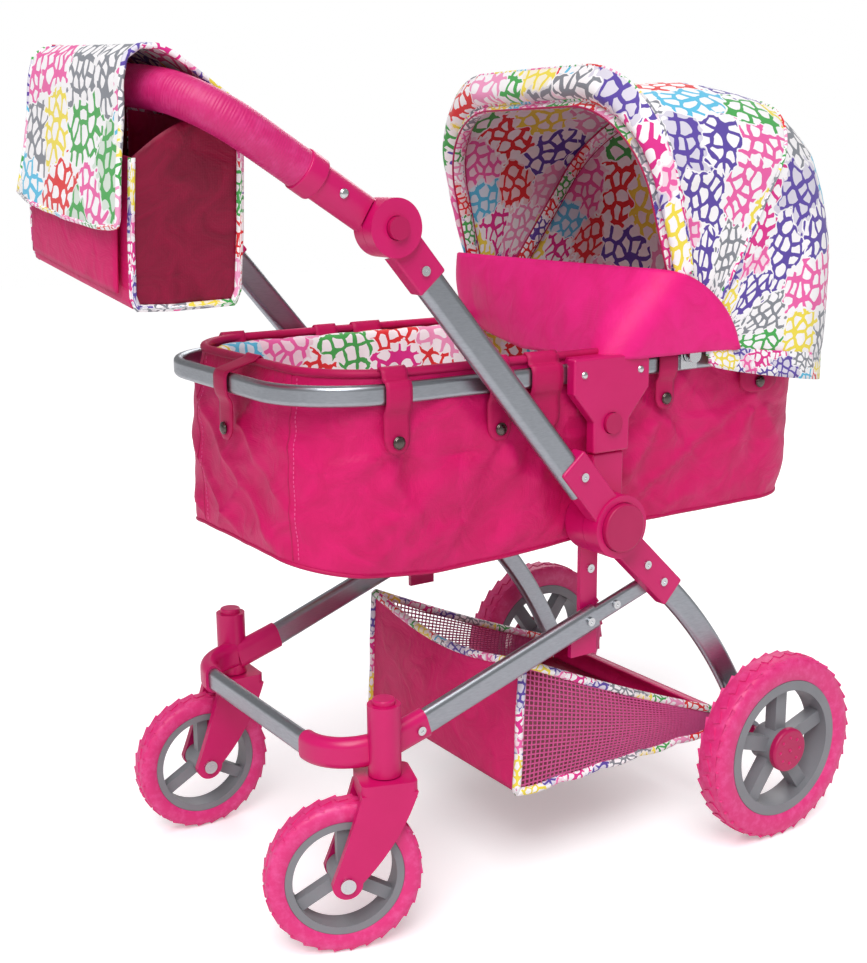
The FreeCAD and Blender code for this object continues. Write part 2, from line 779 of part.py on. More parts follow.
def handlePath(first):
    # Legs, rounded corners and a gently arched cross bar
    y = handleLegY
    s = handleLegLength
    out, inward = cornerOffset(handleCornerTurn)
    halfOut, halfInward = cornerOffset(handleCornerTurn / 2)
    edges = [
        Part.LineSegment(handlePoint(first, -y), handlePoint(s, -y)).toShape(),
        Part.Arc(handlePoint(s, -y), handlePoint(s + halfOut, -y + halfInward),
                 handlePoint(s + out, -y + inward)).toShape(),
        Part.Arc(handlePoint(s + out, -y + inward), handlePoint(handleTop(), 0),
                 handlePoint(s + out, y - inward)).toShape(),
        Part.Arc(handlePoint(s + out, y - inward), handlePoint(s + halfOut, y - halfInward),
                 handlePoint(s, y)).toShape(),
        Part.LineSegment(handlePoint(s, y), handlePoint(first, y)).toShape(),
    ]
    return Part.Wire(edges)


def handleSweep(first, radius):
    a = math.radians(handleRise)
    along = vec(-math.cos(a), 0, math.sin(a))
    circle = Part.Wire(Part.makeCircle(radius, handlePoint(first, -handleLegY), along))
    return handlePath(first).makePipeShell([circle], True, False)


def handleBow():
    return handleSweep(34, handleTubeRadius)


def handleGrip():
    # Soft sleeve over the bow with a plain collar at each end
    a = math.radians(handleRise)
    along = vec(-math.cos(a), 0, math.sin(a))
    sleeve = handleSweep(gripStart + gripCollarLength, gripRadius)
    collars = [Part.makeCylinder(gripRadius + 1, gripCollarLength,
                                 handlePoint(gripStart, s * handleLegY), along)
               for s in (-1, 1)]
    bore = handleSweep(gripStart - 2, handleTubeRadius + 0.02)
    return sleeve.fuse(collars).cut(bore)


def hingeHead(side):
    # Upper half of the handle hinge: inner disc and the socket on the handle bow
    disc = cylinderY(hingeRadius, hingeX, hingeZ, side * hingeInnerY, side * hingeMidY)
    pin = cylinderY(5, hingeX, hingeZ, side * hingeMidY, side * (hingeMidY + 2.5))
    a = math.radians(handleRise)
    along = vec(-math.cos(a), 0, math.sin(a))
    socket = Part.makeCylinder(13, gripStart - 12, handlePoint(12, side * handleLegY), along)
    lowerSpace = cylinderY(hingeRadius + 1.5, hingeX, hingeZ, side * hingeMidY,
                           side * (hingeOuterY + 5))
    bowSpace = Part.makeCylinder(handleTubeRadius + 0.02, gripStart,
                                 handlePoint(34, side * handleLegY), along)
    innerTrim = boxBetween(hingeX - 200, hingeX + 200, 0, side * (hingeInnerY - 10), hingeZ - 200,
                           hingeZ + 200)
    body = disc.fuse(socket.cut(lowerSpace)).fuse(pin)
    return body.cut(bowSpace).cut(innerTrim).removeSplitter()


def heightButton(side):
    y0 = side * (hingeMidY + 4 + heightButtonTravel + clearance)
    return cylinderY(heightButtonRadius, hingeX, hingeZ, y0, side * (hingeOuterY + 4))


def tiltedBag(shape):
    # The bag hangs a little askew: its left end rides up on the handle
    x = ahead(bagFrontAhead)
    moved = shape.copy()
    moved.rotate(vec(x, bagCentreY - bagWidth / 2, bagBottomZ + bagHeight), vec(1, 0, 0), bagTilt)
    return moved


def bagBody():
    x0 = ahead(bagFrontAhead)
    y0, y1 = bagCentreY - bagWidth / 2, bagCentreY + bagWidth / 2
    t = bagWall
    outer = boxBetween(x0, x0 + bagDepth, y0, y1, bagBottomZ, bagBottomZ + bagHeight)
    mouth = Part.makeBox(200, 400, 80, vec(-100, -200, 0))
    mouth.rotate(vec(0, 0, 0), vec(0, 1, 0), -bagMouthSlope)
    mouth.translate(vec(x0 + bagDepth / 2, (y0 + y1) / 2, bagBottomZ + bagHeight - bagMouthDrop))
    inner = boxBetween(x0 + t, x0 + bagDepth - t, y0 + t, y1 - t, bagBottomZ + t,
                       bagBottomZ + bagHeight + 30)
    bag = tiltedBag(outer.cut(inner).cut(mouth))
    return bag.cut(handleSweep(gripStart, gripRadius + 1))


def bagFlap():
    # Cloth that leaves the bag's back edge, goes over the grip and hangs down in front
    centre = handlePoint(handleTop(), 0)
    r = gripRadius + flapStandOff
    t = flapThickness
    y0 = bagCentreY - bagWidth / 2 - 1
    backX = ahead(bagFrontAhead) + bagDepth
    backZ = bagBottomZ + bagHeight
    frontX = centre.x - r
    frontZ = centre.z - flapFrontDrop
    k = math.sqrt(0.5)
    line0 = Part.LineSegment(vec(backX, y0, backZ), vec(centre.x + r * k, y0,
                                                        centre.z + r * k)).toShape()
    over = Part.Arc(vec(centre.x + r * k, y0, centre.z + r * k),
                    vec(centre.x - r * 0.383, y0, centre.z + r * 0.924),
                    vec(frontX, y0, centre.z)).toShape()
    hang = Part.LineSegment(vec(frontX, y0, centre.z), vec(frontX - 4, y0, frontZ)).toShape()
    turn = Part.LineSegment(vec(frontX - 4, y0, frontZ), vec(frontX - 4 - t, y0, frontZ)).toShape()
    rise = Part.LineSegment(vec(frontX - 4 - t, y0, frontZ), vec(frontX - t, y0, centre.z)).toShape()
    q = r + t
    back = Part.Arc(vec(frontX - t, y0, centre.z), vec(centre.x - q * 0.383, y0, centre.z + q * 0.924),
                    vec(centre.x + q * k, y0, centre.z + q * k)).toShape()
    line1 = Part.LineSegment(vec(centre.x + q * k, y0, centre.z + q * k),
                             vec(backX + t, y0, backZ)).toShape()
    close = Part.LineSegment(vec(backX + t, y0, backZ), vec(backX, y0, backZ)).toShape()
    face = Part.Face(Part.Wire([line0, over, hang, turn, rise, back, line1, close]))
    return tiltedBag(face.extrude(vec(0, bagWidth + 2, 0)))


# ---------------------------------------------------------------- bassinet

def rimFace(inset, z):
    x0, x1 = ahead(rimFootAhead) + inset, ahead(rimHeadAhead) - inset
    return roundedLoop(x0, x1, rimHalfWidth - inset, rimCornerRadius - inset, z)


def bassinetRim():
    # Bent flat-oval loop
    outer = Part.Face(rimFace(0, rimZ - rimHeight / 2)).extrude(vec(0, 0, rimHeight))
    inner = Part.Face(rimFace(rimThickness, rimZ - rimHeight / 2 - 1)).extrude(vec(0, 0, rimHeight + 2))
    ring = outer.cut(inner)
    level = [e for e in ring.Edges if abs(e.BoundBox.ZLength) < 0.01]
    return ring.makeFillet(rimThickness * 0.49, level)


def tubLoft(extra, lowZ, highZ):
    # Tapering bag form: the wall leans in towards the floor of the bassinet
    start = rimThickness + tubRimGap + extra
    low = rimFace(start + tubTaper, lowZ)
    high = rimFace(start, highZ)
    return Part.makeLoft([low, high], True, True)


def bassinetTub():
    top = rimZ + rimHeight / 2 + tubRise
    outer = tubLoft(0, tubBottomZ, top)
    inner = tubLoft(tubWall, tubBottomZ + boardThickness, top)
    lid = tubLoft(tubWall, top - 1, top + 3)
    return outer.cut(inner).cut(lid)


def mattress():
    inset = rimThickness + tubRimGap + tubTaper + tubWall + mattressGap
    low = tubBottomZ + boardThickness
    pad = Part.Face(rimFace(inset, low)).extrude(vec(0, 0, mattressThickness))
    level = [e for e in pad.Edges if abs(e.BoundBox.ZLength) < 0.01]
    return pad.makeFillet(8, level)


def bracketY(side):
    return side * rimHalfWidth, side * (rimHalfWidth + bracketThickness)


def sideBracket(side):
    # Plate on the rim that narrows to a tongue which drops into the hub's socket
    y0, y1 = bracketY(side)
    x = hubX
    outline = [
        (x - bracketTopWidth / 2, bracketTopZ), (x + bracketTopWidth / 2, bracketTopZ),
        (x + bracketTopWidth / 2, bracketNeckZ + 14), (x + bracketLowWidth / 2, bracketNeckZ - 10),
        (x + bracketLowWidth / 2, bracketBottomZ + clearance),
        (x - bracketLowWidth / 2, bracketBottomZ + clearance),
        (x - bracketLowWidth / 2, bracketNeckZ - 10), (x - bracketTopWidth / 2, bracketNeckZ + 14)]
    plate = softened(polygonY(outline, y0, y1), 2.0)
    hook = boxBetween(x - bracketTopWidth / 2 + 4, x + bracketTopWidth / 2 - 4,
                      side * (rimHalfWidth - rimThickness + 1), (y0 + y1) / 2,
                      rimZ + rimHeight / 2, bracketTopZ)
    tongue = boxBetween(x - tongueWidth / 2, x + tongueWidth / 2,
                        side * tongueY() - tongueThickness / 2, side * tongueY() + tongueThickness / 2,
                        hubZ + hubRadius + 2, bracketBottomZ + 6)
    body = plate.fuse([hook, tongue])
    well = cylinderY(bracketButtonRadius + clearance, x, bracketButtonZ, y1 - side * 6, y1 + side * 4)
    return body.cut(well).removeSplitter()


def bracketButton(side):
    y0, y1 = bracketY(side)
    start = y1 - side * (6 - bracketButtonTravel - clearance)
    return cylinderY(bracketButtonRadius, hubX, bracketButtonZ, start, y1 + side * 3)


# Reach of the canopy from the hood axis at each angle back from upright, and how much its sides lean in
canopyReach = {-15.0: 214.0, 0.0: 220.0, 17.0: 230.0, 34.0: 250.0, 46.0: 255.0, 60.0: 234.0,
               76.0: 213.0, 97.0: 200.0}
canopyLean = {-15.0: 1.0, 46.0: 1.0, 76.0: 0.0, 97.0: 0.0}


def between(table, angle):
    # Straight-line value between the entries of a table keyed by angle
    keys = sorted(table)
    low = max(k for k in keys if k <= angle)
    high = min(k for k in keys if k >= angle)
    if high == low:
        return table[low]
    return table[low] + (table[high] - table[low]) * (angle - low) / (high - low)


def hoodPoint(angle, r, y):
    # Point in the plane through the hood axis at an angle back from upright
    a = math.radians(angle)
    return vec(pivotX + r * math.sin(a), y, hoodPivotZ + r * math.cos(a))


def hoodArch(angle, reach, halfWidth, corner, root):
    # Edges of one arch, from the right foot over the top to the left foot
    slope = hoodLeanSlope * between(canopyLean, angle)
    legTop = reach - corner
    footY = halfWidth - slope * root
    topY = halfWidth - slope * legTop
    k = corner * (1 - math.sqrt(0.5))
    flat = topY - corner
    return [
        Part.LineSegment(hoodPoint(angle, root, -footY), hoodPoint(angle, legTop, -topY)).toShape(),
        Part.Arc(hoodPoint(angle, legTop, -topY), hoodPoint(angle, reach - k, -topY + k),
                 hoodPoint(angle, reach, -flat)).toShape(),
        Part.LineSegment(hoodPoint(angle, reach, -flat), hoodPoint(angle, reach, flat)).toShape(),
        Part.Arc(hoodPoint(angle, reach, flat), hoodPoint(angle, reach - k, topY - k),
                 hoodPoint(angle, legTop, topY)).toShape(),
        Part.LineSegment(hoodPoint(angle, legTop, topY), hoodPoint(angle, root, footY)).toShape(),
    ]


def closedBand(outer, inner):
    # Joins two arches at their feet into one closed outline
    right = Part.LineSegment(inner[0].Vertexes[0].Point, outer[0].Vertexes[0].Point).toShape()
    left = Part.LineSegment(outer[-1].Vertexes[-1].Point, inner[-1].Vertexes[-1].Point).toShape()
    return Part.Wire(Part.__sortEdges__(outer + [left] + inner + [right]))


def archBand(angle, reach, halfWidth, thickness, root):
    outer = hoodArch(angle, reach, halfWidth, hoodCorner, root)
    inner = hoodArch(angle, reach - thickness, halfWidth - thickness, hoodCorner - thickness, root)
    return closedBand(outer, inner)


def canopyPanel(first, last):
    angles = [first] + [a for a in sorted(canopyReach) if first < a < last] + [last]
    bands = [archBand(a, between(canopyReach, a) + hoodCloth, hoodHalfWidth, hoodCloth,
                      hoodRoot) for a in angles]
    return Part.makeLoft(bands, True, False)


def brimBand(angle):
    # Turned-back edge of the front panel, wider over the top than at the sides
    reach = canopyReach[frontBowAngle] + hoodCloth
    outer = hoodArch(angle, reach + brimWidth, hoodHalfWidth + brimWidth * brimSideShare,
                     hoodCorner + 10, brimRoot)
    inner = hoodArch(angle, reach, hoodHalfWidth, hoodCorner, brimRoot)
    return closedBand(outer, inner)


def canopyFront():
    panel = canopyPanel(frontBowAngle, middleBowAngle - hoodSeamAngle)
    brim = Part.makeLoft([brimBand(frontBowAngle + 1.0), brimBand(frontBowAngle)], True, True)
    return Part.makeCompound([panel, brim])


def bowHalfWidth(layer):
    # Outer face of a bow: layer 0 lies next to the canopy, layer 1 inside it
    return hoodHalfWidth - hoodCloth - bowGap - layer * (bowThickness + bowGap)


def hoodBow(angle, layer):
    # Flat strap bent to an arch, with a round eye on the hood pin at each end
    half = bowHalfWidth(layer)
    reach = between(canopyReach, angle) - bowDrop
    band = archBand(angle, reach, half, bowThickness, 0)
    a = math.radians(angle)
    normal = vec(math.cos(a), 0, -math.sin(a))
    strap = Part.Face(band)
    strap.translate(normal * (-bowWidth / 2))
    strap = strap.extrude(normal * bowWidth)
    eyes = [cylinderY(bowEyeRadius, pivotX, hoodPivotZ, side * (half - bowThickness), side * half)
            for side in sides.values()]
    body = strap.fuse(eyes)
    reachOver = hoodHalfWidth + 10
    hole = cylinderY(hoodPinRadius + runningFit, pivotX, hoodPivotZ, -reachOver, reachOver)
    return body.cut(hole).removeSplitter()


def hoodPivots():
    # Foot on the rim with a headed pin that both bows turn on
    pins = []
    headY = bowHalfWidth(0) + bowGap
    for side in sides.values():
        foot = boxBetween(pivotX - 9, pivotX + 9, side * rimHalfWidth,
                          side * (rimHalfWidth + hoodFootThickness),
                          rimZ - 6, hoodPivotZ + 5)
        pin = cylinderY(hoodPinRadius, pivotX, hoodPivotZ, side * rimHalfWidth, side * headY)
        head = cylinderY(hoodPinHeadRadius, pivotX, hoodPivotZ, side * headY,
                         side * (headY + hoodPinHeadHeight))
        pins.append(foot.fuse([pin, head]))
    return Part.makeCompound(pins)


def apron():
    # Stand-up cloth guard across the bassinet, with wings along both sides of the hood
    def band(frontAhead, z):
        outer = []
        for grow in (0.0, apronCloth):
            x0 = ahead(frontAhead) + grow
            x1 = ahead(apronWingAhead)
            y = apronHalfWidth - grow
            r = apronCorner - grow
            k = r * (1 - math.sqrt(0.5))
            edges = [
                Part.LineSegment(vec(x1, -y, z), vec(x0 + r, -y, z)).toShape(),
                Part.Arc(vec(x0 + r, -y, z), vec(x0 + k, -y + k, z), vec(x0, -y + r, z)).toShape(),
                Part.LineSegment(vec(x0, -y + r, z), vec(x0, y - r, z)).toShape(),
                Part.Arc(vec(x0, y - r, z), vec(x0 + k, y - k, z), vec(x0 + r, y, z)).toShape(),
                Part.LineSegment(vec(x0 + r, y, z), vec(x1, y, z)).toShape()]
            outer.append(edges)
        x1 = ahead(apronWingAhead)
        y = apronHalfWidth
        t = apronCloth
        ends = [Part.LineSegment(vec(x1, -y, z), vec(x1, -y + t, z)).toShape(),
                Part.LineSegment(vec(x1, y, z), vec(x1, y - t, z)).toShape()]
        return Part.Wire(Part.__sortEdges__(outer[0] + outer[1] + ends))
    return Part.makeLoft([band(apronFootAhead, apronLowZ), band(apronTopAhead, apronHighZ)], True, True)


# ---------------------------------------------------------------- all nodes

nodes["leg_inserts"] = Part.makeCompound([legInsert(s) for s in sides.values()])
nodes["front_cross_bar"] = crossBar()
nodes["housing_caps"] = housingCaps()
nodes["rear_axle"] = rearAxle()
nodes["axle_tube"] = Part.makeCompound([axleTube()] + axleSpacers().Solids)
nodes["hub_struts"] = hubStruts()
nodes["chassis_screws"] = chassisScrews()
nodes["basket"] = basket()
nodes["arm_screws"] = armScrews()
nodes["handle_bow"] = handleBow()
nodes["handle_grip"] = handleGrip()
nodes["bag_body"] = bagBody()
nodes["bag_flap"] = bagFlap()
nodes["bassinet_rim"] = bassinetRim()
nodes["bassinet_tub"] = bassinetTub()
nodes["mattress"] = mattress()
nodes["hood_pivots"] = hoodPivots()
nodes["hood_bow_front"] = hoodBow(frontBowAngle, 0)
nodes["hood_bow_middle"] = hoodBow(middleBowAngle, 1)
nodes["canopy_front"] = canopyFront()
nodes["canopy_rear"] = canopyPanel(middleBowAngle, hoodHemAngle)
nodes["apron"] = apron()

for name, side in sides.items():
    nodes["front_leg_" + name] = drilled(
        frontLeg(side), legScrewPoints(side) + elbowScrewPoints(side), vec(0, side, 0))
    nodes["elbow_" + name] = drilled(elbow(side), elbowScrewPoints(side), vec(0, side, 0))
    nodes["rear_leg_" + name] = rearLeg(side)
    nodes["hub_body_" + name] = hubBody(side)
    nodes["rear_rim_" + name] = rearWheelPiece(rearRim(), side)
    nodes["rear_tyre_" + name] = rearWheelPiece(tyre(rearTyreRadius, rearRimRadius, rearTyreWidth,
                                                     30), side)
    nodes["rear_hub_cap_" + name] = rearWheelPiece(rearHubCap(), side)
    nodes["caster_fork_" + name] = casterPiece(casterFork(), side)
    nodes["caster_bolt_" + name] = casterPiece(casterBolt(), side)
    nodes["front_rim_" + name] = casterPiece(casterWheel(frontRim()), side)
    nodes["front_tyre_" + name] = casterPiece(
        casterWheel(tyre(frontTyreRadius, frontRimRadius, frontTyreWidth, 24)), side)
    nodes["push_arm_" + name] = drilled(pushArm(side), armScrewPoints(side), vec(0, side, 0))
    nodes["arm_hub_" + name] = armHub(side)
    nodes["hub_button_" + name] = hubButton(side)
    nodes["hinge_base_" + name] = hingeBase(side)
    nodes["hinge_head_" + name] = hingeHead(side)
    nodes["height_button_" + name] = heightButton(side)
    nodes["side_bracket_" + name] = sideBracket(side)
    nodes["bracket_button_" + name] = bracketButton(side)

for node, shape in nodes.items():
    shape.exportStep("parts/" + node + ".step")

whole = FreeCAD.BoundBox()
for shape in nodes.values():
    whole.add(shape.BoundBox)
print(len(nodes), "nodes; box", [round(v, 1) for v in (
    whole.XMin, whole.XMax, whole.YMin, whole.YMax, whole.ZMin, whole.ZMax)])
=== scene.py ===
import bpy
import json
import math
import numpy as np
from mathutils import Matrix, Vector, noise


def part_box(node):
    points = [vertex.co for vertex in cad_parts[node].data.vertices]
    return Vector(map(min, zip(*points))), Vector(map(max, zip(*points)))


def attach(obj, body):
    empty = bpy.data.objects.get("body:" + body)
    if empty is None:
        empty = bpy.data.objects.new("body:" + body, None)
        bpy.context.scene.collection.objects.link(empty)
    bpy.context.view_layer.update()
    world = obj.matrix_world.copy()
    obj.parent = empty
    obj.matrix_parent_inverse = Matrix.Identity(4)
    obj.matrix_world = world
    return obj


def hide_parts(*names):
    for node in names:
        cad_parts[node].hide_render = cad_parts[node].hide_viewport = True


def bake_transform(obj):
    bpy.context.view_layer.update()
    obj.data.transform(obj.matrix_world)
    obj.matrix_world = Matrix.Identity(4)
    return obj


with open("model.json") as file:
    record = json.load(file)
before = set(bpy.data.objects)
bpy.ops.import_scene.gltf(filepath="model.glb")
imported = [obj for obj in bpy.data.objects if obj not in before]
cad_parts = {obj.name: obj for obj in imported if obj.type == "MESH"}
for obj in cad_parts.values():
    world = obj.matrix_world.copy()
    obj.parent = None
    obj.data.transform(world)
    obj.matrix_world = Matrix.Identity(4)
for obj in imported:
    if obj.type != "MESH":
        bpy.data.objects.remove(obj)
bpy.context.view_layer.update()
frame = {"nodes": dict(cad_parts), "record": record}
scene = bpy.context.scene
scene.view_settings.view_transform = "Standard"
joints = frame["record"]["behaviour"]["joints"]
jointPlaces = {joint["name"]: joint.get("pos_m") for joint in joints}
mm = 0.001
print("frame loaded")


def middle(nodeName):
    low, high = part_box(nodeName)
    return (low + high) / 2


# Places that everything else is measured from
axle = middle("rear_axle")
rimLow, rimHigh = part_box("bassinet_rim")
hub = Vector(jointPlaces["push_arm_fold"])
hinge = Vector(jointPlaces["handle_tilt"])
hoodPivot = Vector(jointPlaces["hood_mid_fold"])
sides = {"right": -1, "left": 1}

# Camera

cameraView = {
    "fromAxle": (-0.9036, -0.992, 0.6015),
    "yaw": 33.34,
    "pitch": 12.92,
    "roll": -0.51,
    "lens": 52.25,
}


def makeCamera(view):
    yaw, pitch, roll = (math.radians(view[k]) for k in ("yaw", "pitch", "roll"))
    ahead = Vector((math.sin(yaw) * math.cos(pitch), math.cos(yaw) * math.cos(pitch), -math.sin(pitch)))
    right = ahead.cross(Vector((0, 0, 1))).normalized()
    up = right.cross(ahead)
    rightRolled = right * math.cos(roll) + up * math.sin(roll)
    upRolled = up * math.cos(roll) - right * math.sin(roll)
    data = bpy.data.cameras.new("camera")
    data.lens = view["lens"]
    data.sensor_width = 36
    data.clip_end = 30
    cam = bpy.data.objects.new("camera", data)
    scene.collection.objects.link(cam)
    turn = Matrix((rightRolled, upRolled, -ahead)).transposed().to_4x4()
    place = Vector((axle.x, 0, 0)) + Vector(view["fromAxle"])
    cam.matrix_world = Matrix.Translation(place) @ turn
    scene.camera = cam


makeCamera(cameraView)

# Small helpers for nodes and colour


def linear(hexColour):
    # sRGB hex to linear RGBA
    values = [int(hexColour[i:i + 2], 16) / 255 for i in (1, 3, 5)]
    return tuple(v / 12.92 if v <= 0.04045 else ((v + 0.055) / 1.055) ** 2.4 for v in values) + (1.0,)


def add(tree, kind, inputs=None, **settings):
    # One node, its settings, and its inputs as values or links
    made = tree.nodes.new(kind)
    for key, value in settings.items():
        setattr(made, key, value)
    for key, value in (inputs or {}).items():
        if isinstance(value, bpy.types.NodeSocket):
            tree.links.new(value, made.inputs[key])
        else:
            made.inputs[key].default_value = value
    return made


def newMaterial(name, sockets):
    # A material whose shader starts with the values that are the same all over
    made = bpy.data.materials.new(name)
    made.use_nodes = True
    tree = made.node_tree
    tree.nodes.clear()
    shader = add(tree, "ShaderNodeBsdfPrincipled", sockets)
    add(tree, "ShaderNodeOutputMaterial", {"Surface": shader.outputs["BSDF"]})
    return made, tree, shader


# Materials


def mouldedAbs(name, colour, deepColour, roughness, grain):
    # Injection-moulded ABS: one strong colour, a soft gloss and a faint spark-eroded grain
    made, tree, shader = newMaterial(name, {"IOR": 1.54, "Specular IOR Level": 0.4})
    coords = add(tree, "ShaderNodeTexCoord").outputs["Object"]
    cloud = add(tree, "ShaderNodeTexNoise", {"Vector": coords, "Scale": 1 / (35 * mm), "Detail": 3.0})
    tint = add(tree, "ShaderNodeMix", {0: cloud.outputs["Fac"], 6: linear(colour), 7: linear(deepColour)},
               data_type="RGBA")
    # The real grain is about 0.2 mm; it is drawn at 0.7 mm so that it shows
    grit = add(tree, "ShaderNodeTexNoise", {"Vector": coords, "Scale": 1 / (0.7 * mm), "Detail": 2.0})
    gloss = add(tree, "ShaderNodeMapRange", {"Value": cloud.outputs["Fac"], "From Min": 0.3,
                                             "From Max": 0.7,
                                             "To Min": roughness - 0.05, "To Max": roughness + 0.07})
    bump = add(tree, "ShaderNodeBump", {"Height": grit.outputs["Fac"], "Strength": grain,
                                        "Distance": 0.2 * mm})
    tree.links.new(tint.outputs[2], shader.inputs["Base Color"])
    tree.links.new(gloss.outputs[0], shader.inputs["Roughness"])
    tree.links.new(bump.outputs[0], shader.inputs["Normal"])
    return made


def softPvc(name, colour, wornColour):
    # Blow-moulded soft PVC: satin, with lighter scuffs where it rubs
    made, tree, shader = newMaterial(name, {"Roughness": 0.46, "IOR": 1.52})
    coords = add(tree, "ShaderNodeTexCoord").outputs["Object"]
    scuff = add(tree, "ShaderNodeTexNoise", {"Vector": coords, "Scale": 1 / (9 * mm), "Detail": 5.0,
                                             "Roughness": 0.65})
    mask = add(tree, "ShaderNodeMapRange", {"Value": scuff.outputs["Fac"], "From Min": 0.45,
                                            "From Max": 0.75})
    tint = add(tree, "ShaderNodeMix", {0: mask.outputs[0], 6: linear(colour), 7: linear(wornColour)},
               data_type="RGBA")
    grit = add(tree, "ShaderNodeTexNoise", {"Vector": coords, "Scale": 1 / (0.8 * mm), "Detail": 3.0})
    bump = add(tree, "ShaderNodeBump", {"Height": grit.outputs["Fac"], "Strength": 0.25,
                                        "Distance": 0.2 * mm})
    tree.links.new(tint.outputs[2], shader.inputs["Base Color"])
    tree.links.new(bump.outputs[0], shader.inputs["Normal"])
    return made


def anodisedTube(name, colour, darkColour, roughness):
    # Extruded aluminium, satin anodised: bright flats with faint streaks from the die
    made, tree, shader = newMaterial(name, {"Metallic": 1.0})
    coords = add(tree, "ShaderNodeTexCoord").outputs["Object"]
    stretched = add(tree, "ShaderNodeMapping", {"Vector": coords, "Scale": (1, 1, 7)})
    lines = add(tree, "ShaderNodeTexNoise", {"Vector": stretched.outputs[0], "Scale": 1 / (5 * mm),
                                             "Detail": 4.0})
    tint = add(tree, "ShaderNodeMix", {0: lines.outputs["Fac"], 6: linear(colour), 7: linear(darkColour)},
               data_type="RGBA")
    gloss = add(tree, "ShaderNodeMapRange", {"Value": lines.outputs["Fac"], "From Min": 0.3,
                                             "From Max": 0.7,
                                             "To Min": roughness - 0.05, "To Max": roughness + 0.06})
    bump = add(tree, "ShaderNodeBump", {"Height": lines.outputs["Fac"], "Strength": 0.08,
                                        "Distance": 0.1 * mm})
    tree.links.new(tint.outputs[2], shader.inputs["Base Color"])
    tree.links.new(gloss.outputs[0], shader.inputs["Roughness"])
    tree.links.new(bump.outputs[0], shader.inputs["Normal"])
    return made


def platedSteel(name, colour, roughness):
    # Plated steel: hard bright highlights with a little tarnish
    made, tree, shader = newMaterial(name, {"Base Color": linear(colour), "Metallic": 1.0})
    coords = add(tree, "ShaderNodeTexCoord").outputs["Object"]
    haze = add(tree, "ShaderNodeTexNoise", {"Vector": coords, "Scale": 1 / (2 * mm), "Detail": 3.0})
    gloss = add(tree, "ShaderNodeMapRange", {"Value": haze.outputs["Fac"], "To Min": roughness,
                                             "To Max": roughness + 0.15})
    tree.links.new(gloss.outputs[0], shader.inputs["Roughness"])
    return made


# Threads are 0.25 mm apart in life and drawn 1.78 mm apart so that they show.
# A wave texture turns through 20 radians to a unit
threadPitch = 1.7765 * mm
weaveScale = 2 * math.pi / 20 / threadPitch


def wovenNylon(name, colour, shadeColour, sheen, wrinkle):
    # Coated nylon taffeta: saturated, a soft sheen at the folds, fine threads and creases
    made, tree, shader = newMaterial(name, {
        "Roughness": 0.52, "IOR": 1.5, "Specular IOR Level": 0.3, "Sheen Weight": sheen,
        "Sheen Tint": linear("#ff8fc4"), "Sheen Roughness": 0.4})
    flat = add(tree, "ShaderNodeAttribute", attribute_name="flat").outputs["Vector"]
    warp = add(tree, "ShaderNodeTexWave", {"Vector": flat, "Scale": weaveScale, "Distortion": 0.4},
               bands_direction="X")
    weft = add(tree, "ShaderNodeTexWave", {"Vector": flat, "Scale": weaveScale, "Distortion": 0.4},
               bands_direction="Y")
    threads = add(tree, "ShaderNodeMath", {0: warp.outputs["Fac"], 1: weft.outputs["Fac"]}, operation="ADD")
    crease = add(tree, "ShaderNodeTexNoise", {"Vector": flat, "Scale": 1 / (28 * mm), "Detail": 4.0,
                                              "Roughness": 0.55, "Distortion": 1.2})
    shade = add(tree, "ShaderNodeMapRange", {"Value": crease.outputs["Fac"], "From Min": 0.35,
                                             "From Max": 0.7})
    tint = add(tree, "ShaderNodeMix", {0: shade.outputs[0], 6: linear(colour), 7: linear(shadeColour)},
               data_type="RGBA")
    fine = add(tree, "ShaderNodeBump", {"Height": threads.outputs[0], "Strength": 0.22,
                                        "Distance": 0.12 * mm})
    folds = add(tree, "ShaderNodeBump", {"Height": crease.outputs["Fac"], "Strength": wrinkle,
                                         "Distance": 3.5 * mm, "Normal": fine.outputs[0]})
    tree.links.new(tint.outputs[2], shader.inputs["Base Color"])
    tree.links.new(folds.outputs[0], shader.inputs["Normal"])
    return made


printColours = ["#f29ac4", "#e0248c", "#e3262c", "#43a94f", "#84878f", "#5a43a3", "#58c1e6", "#f3de48",
                "#ee5fa8"]


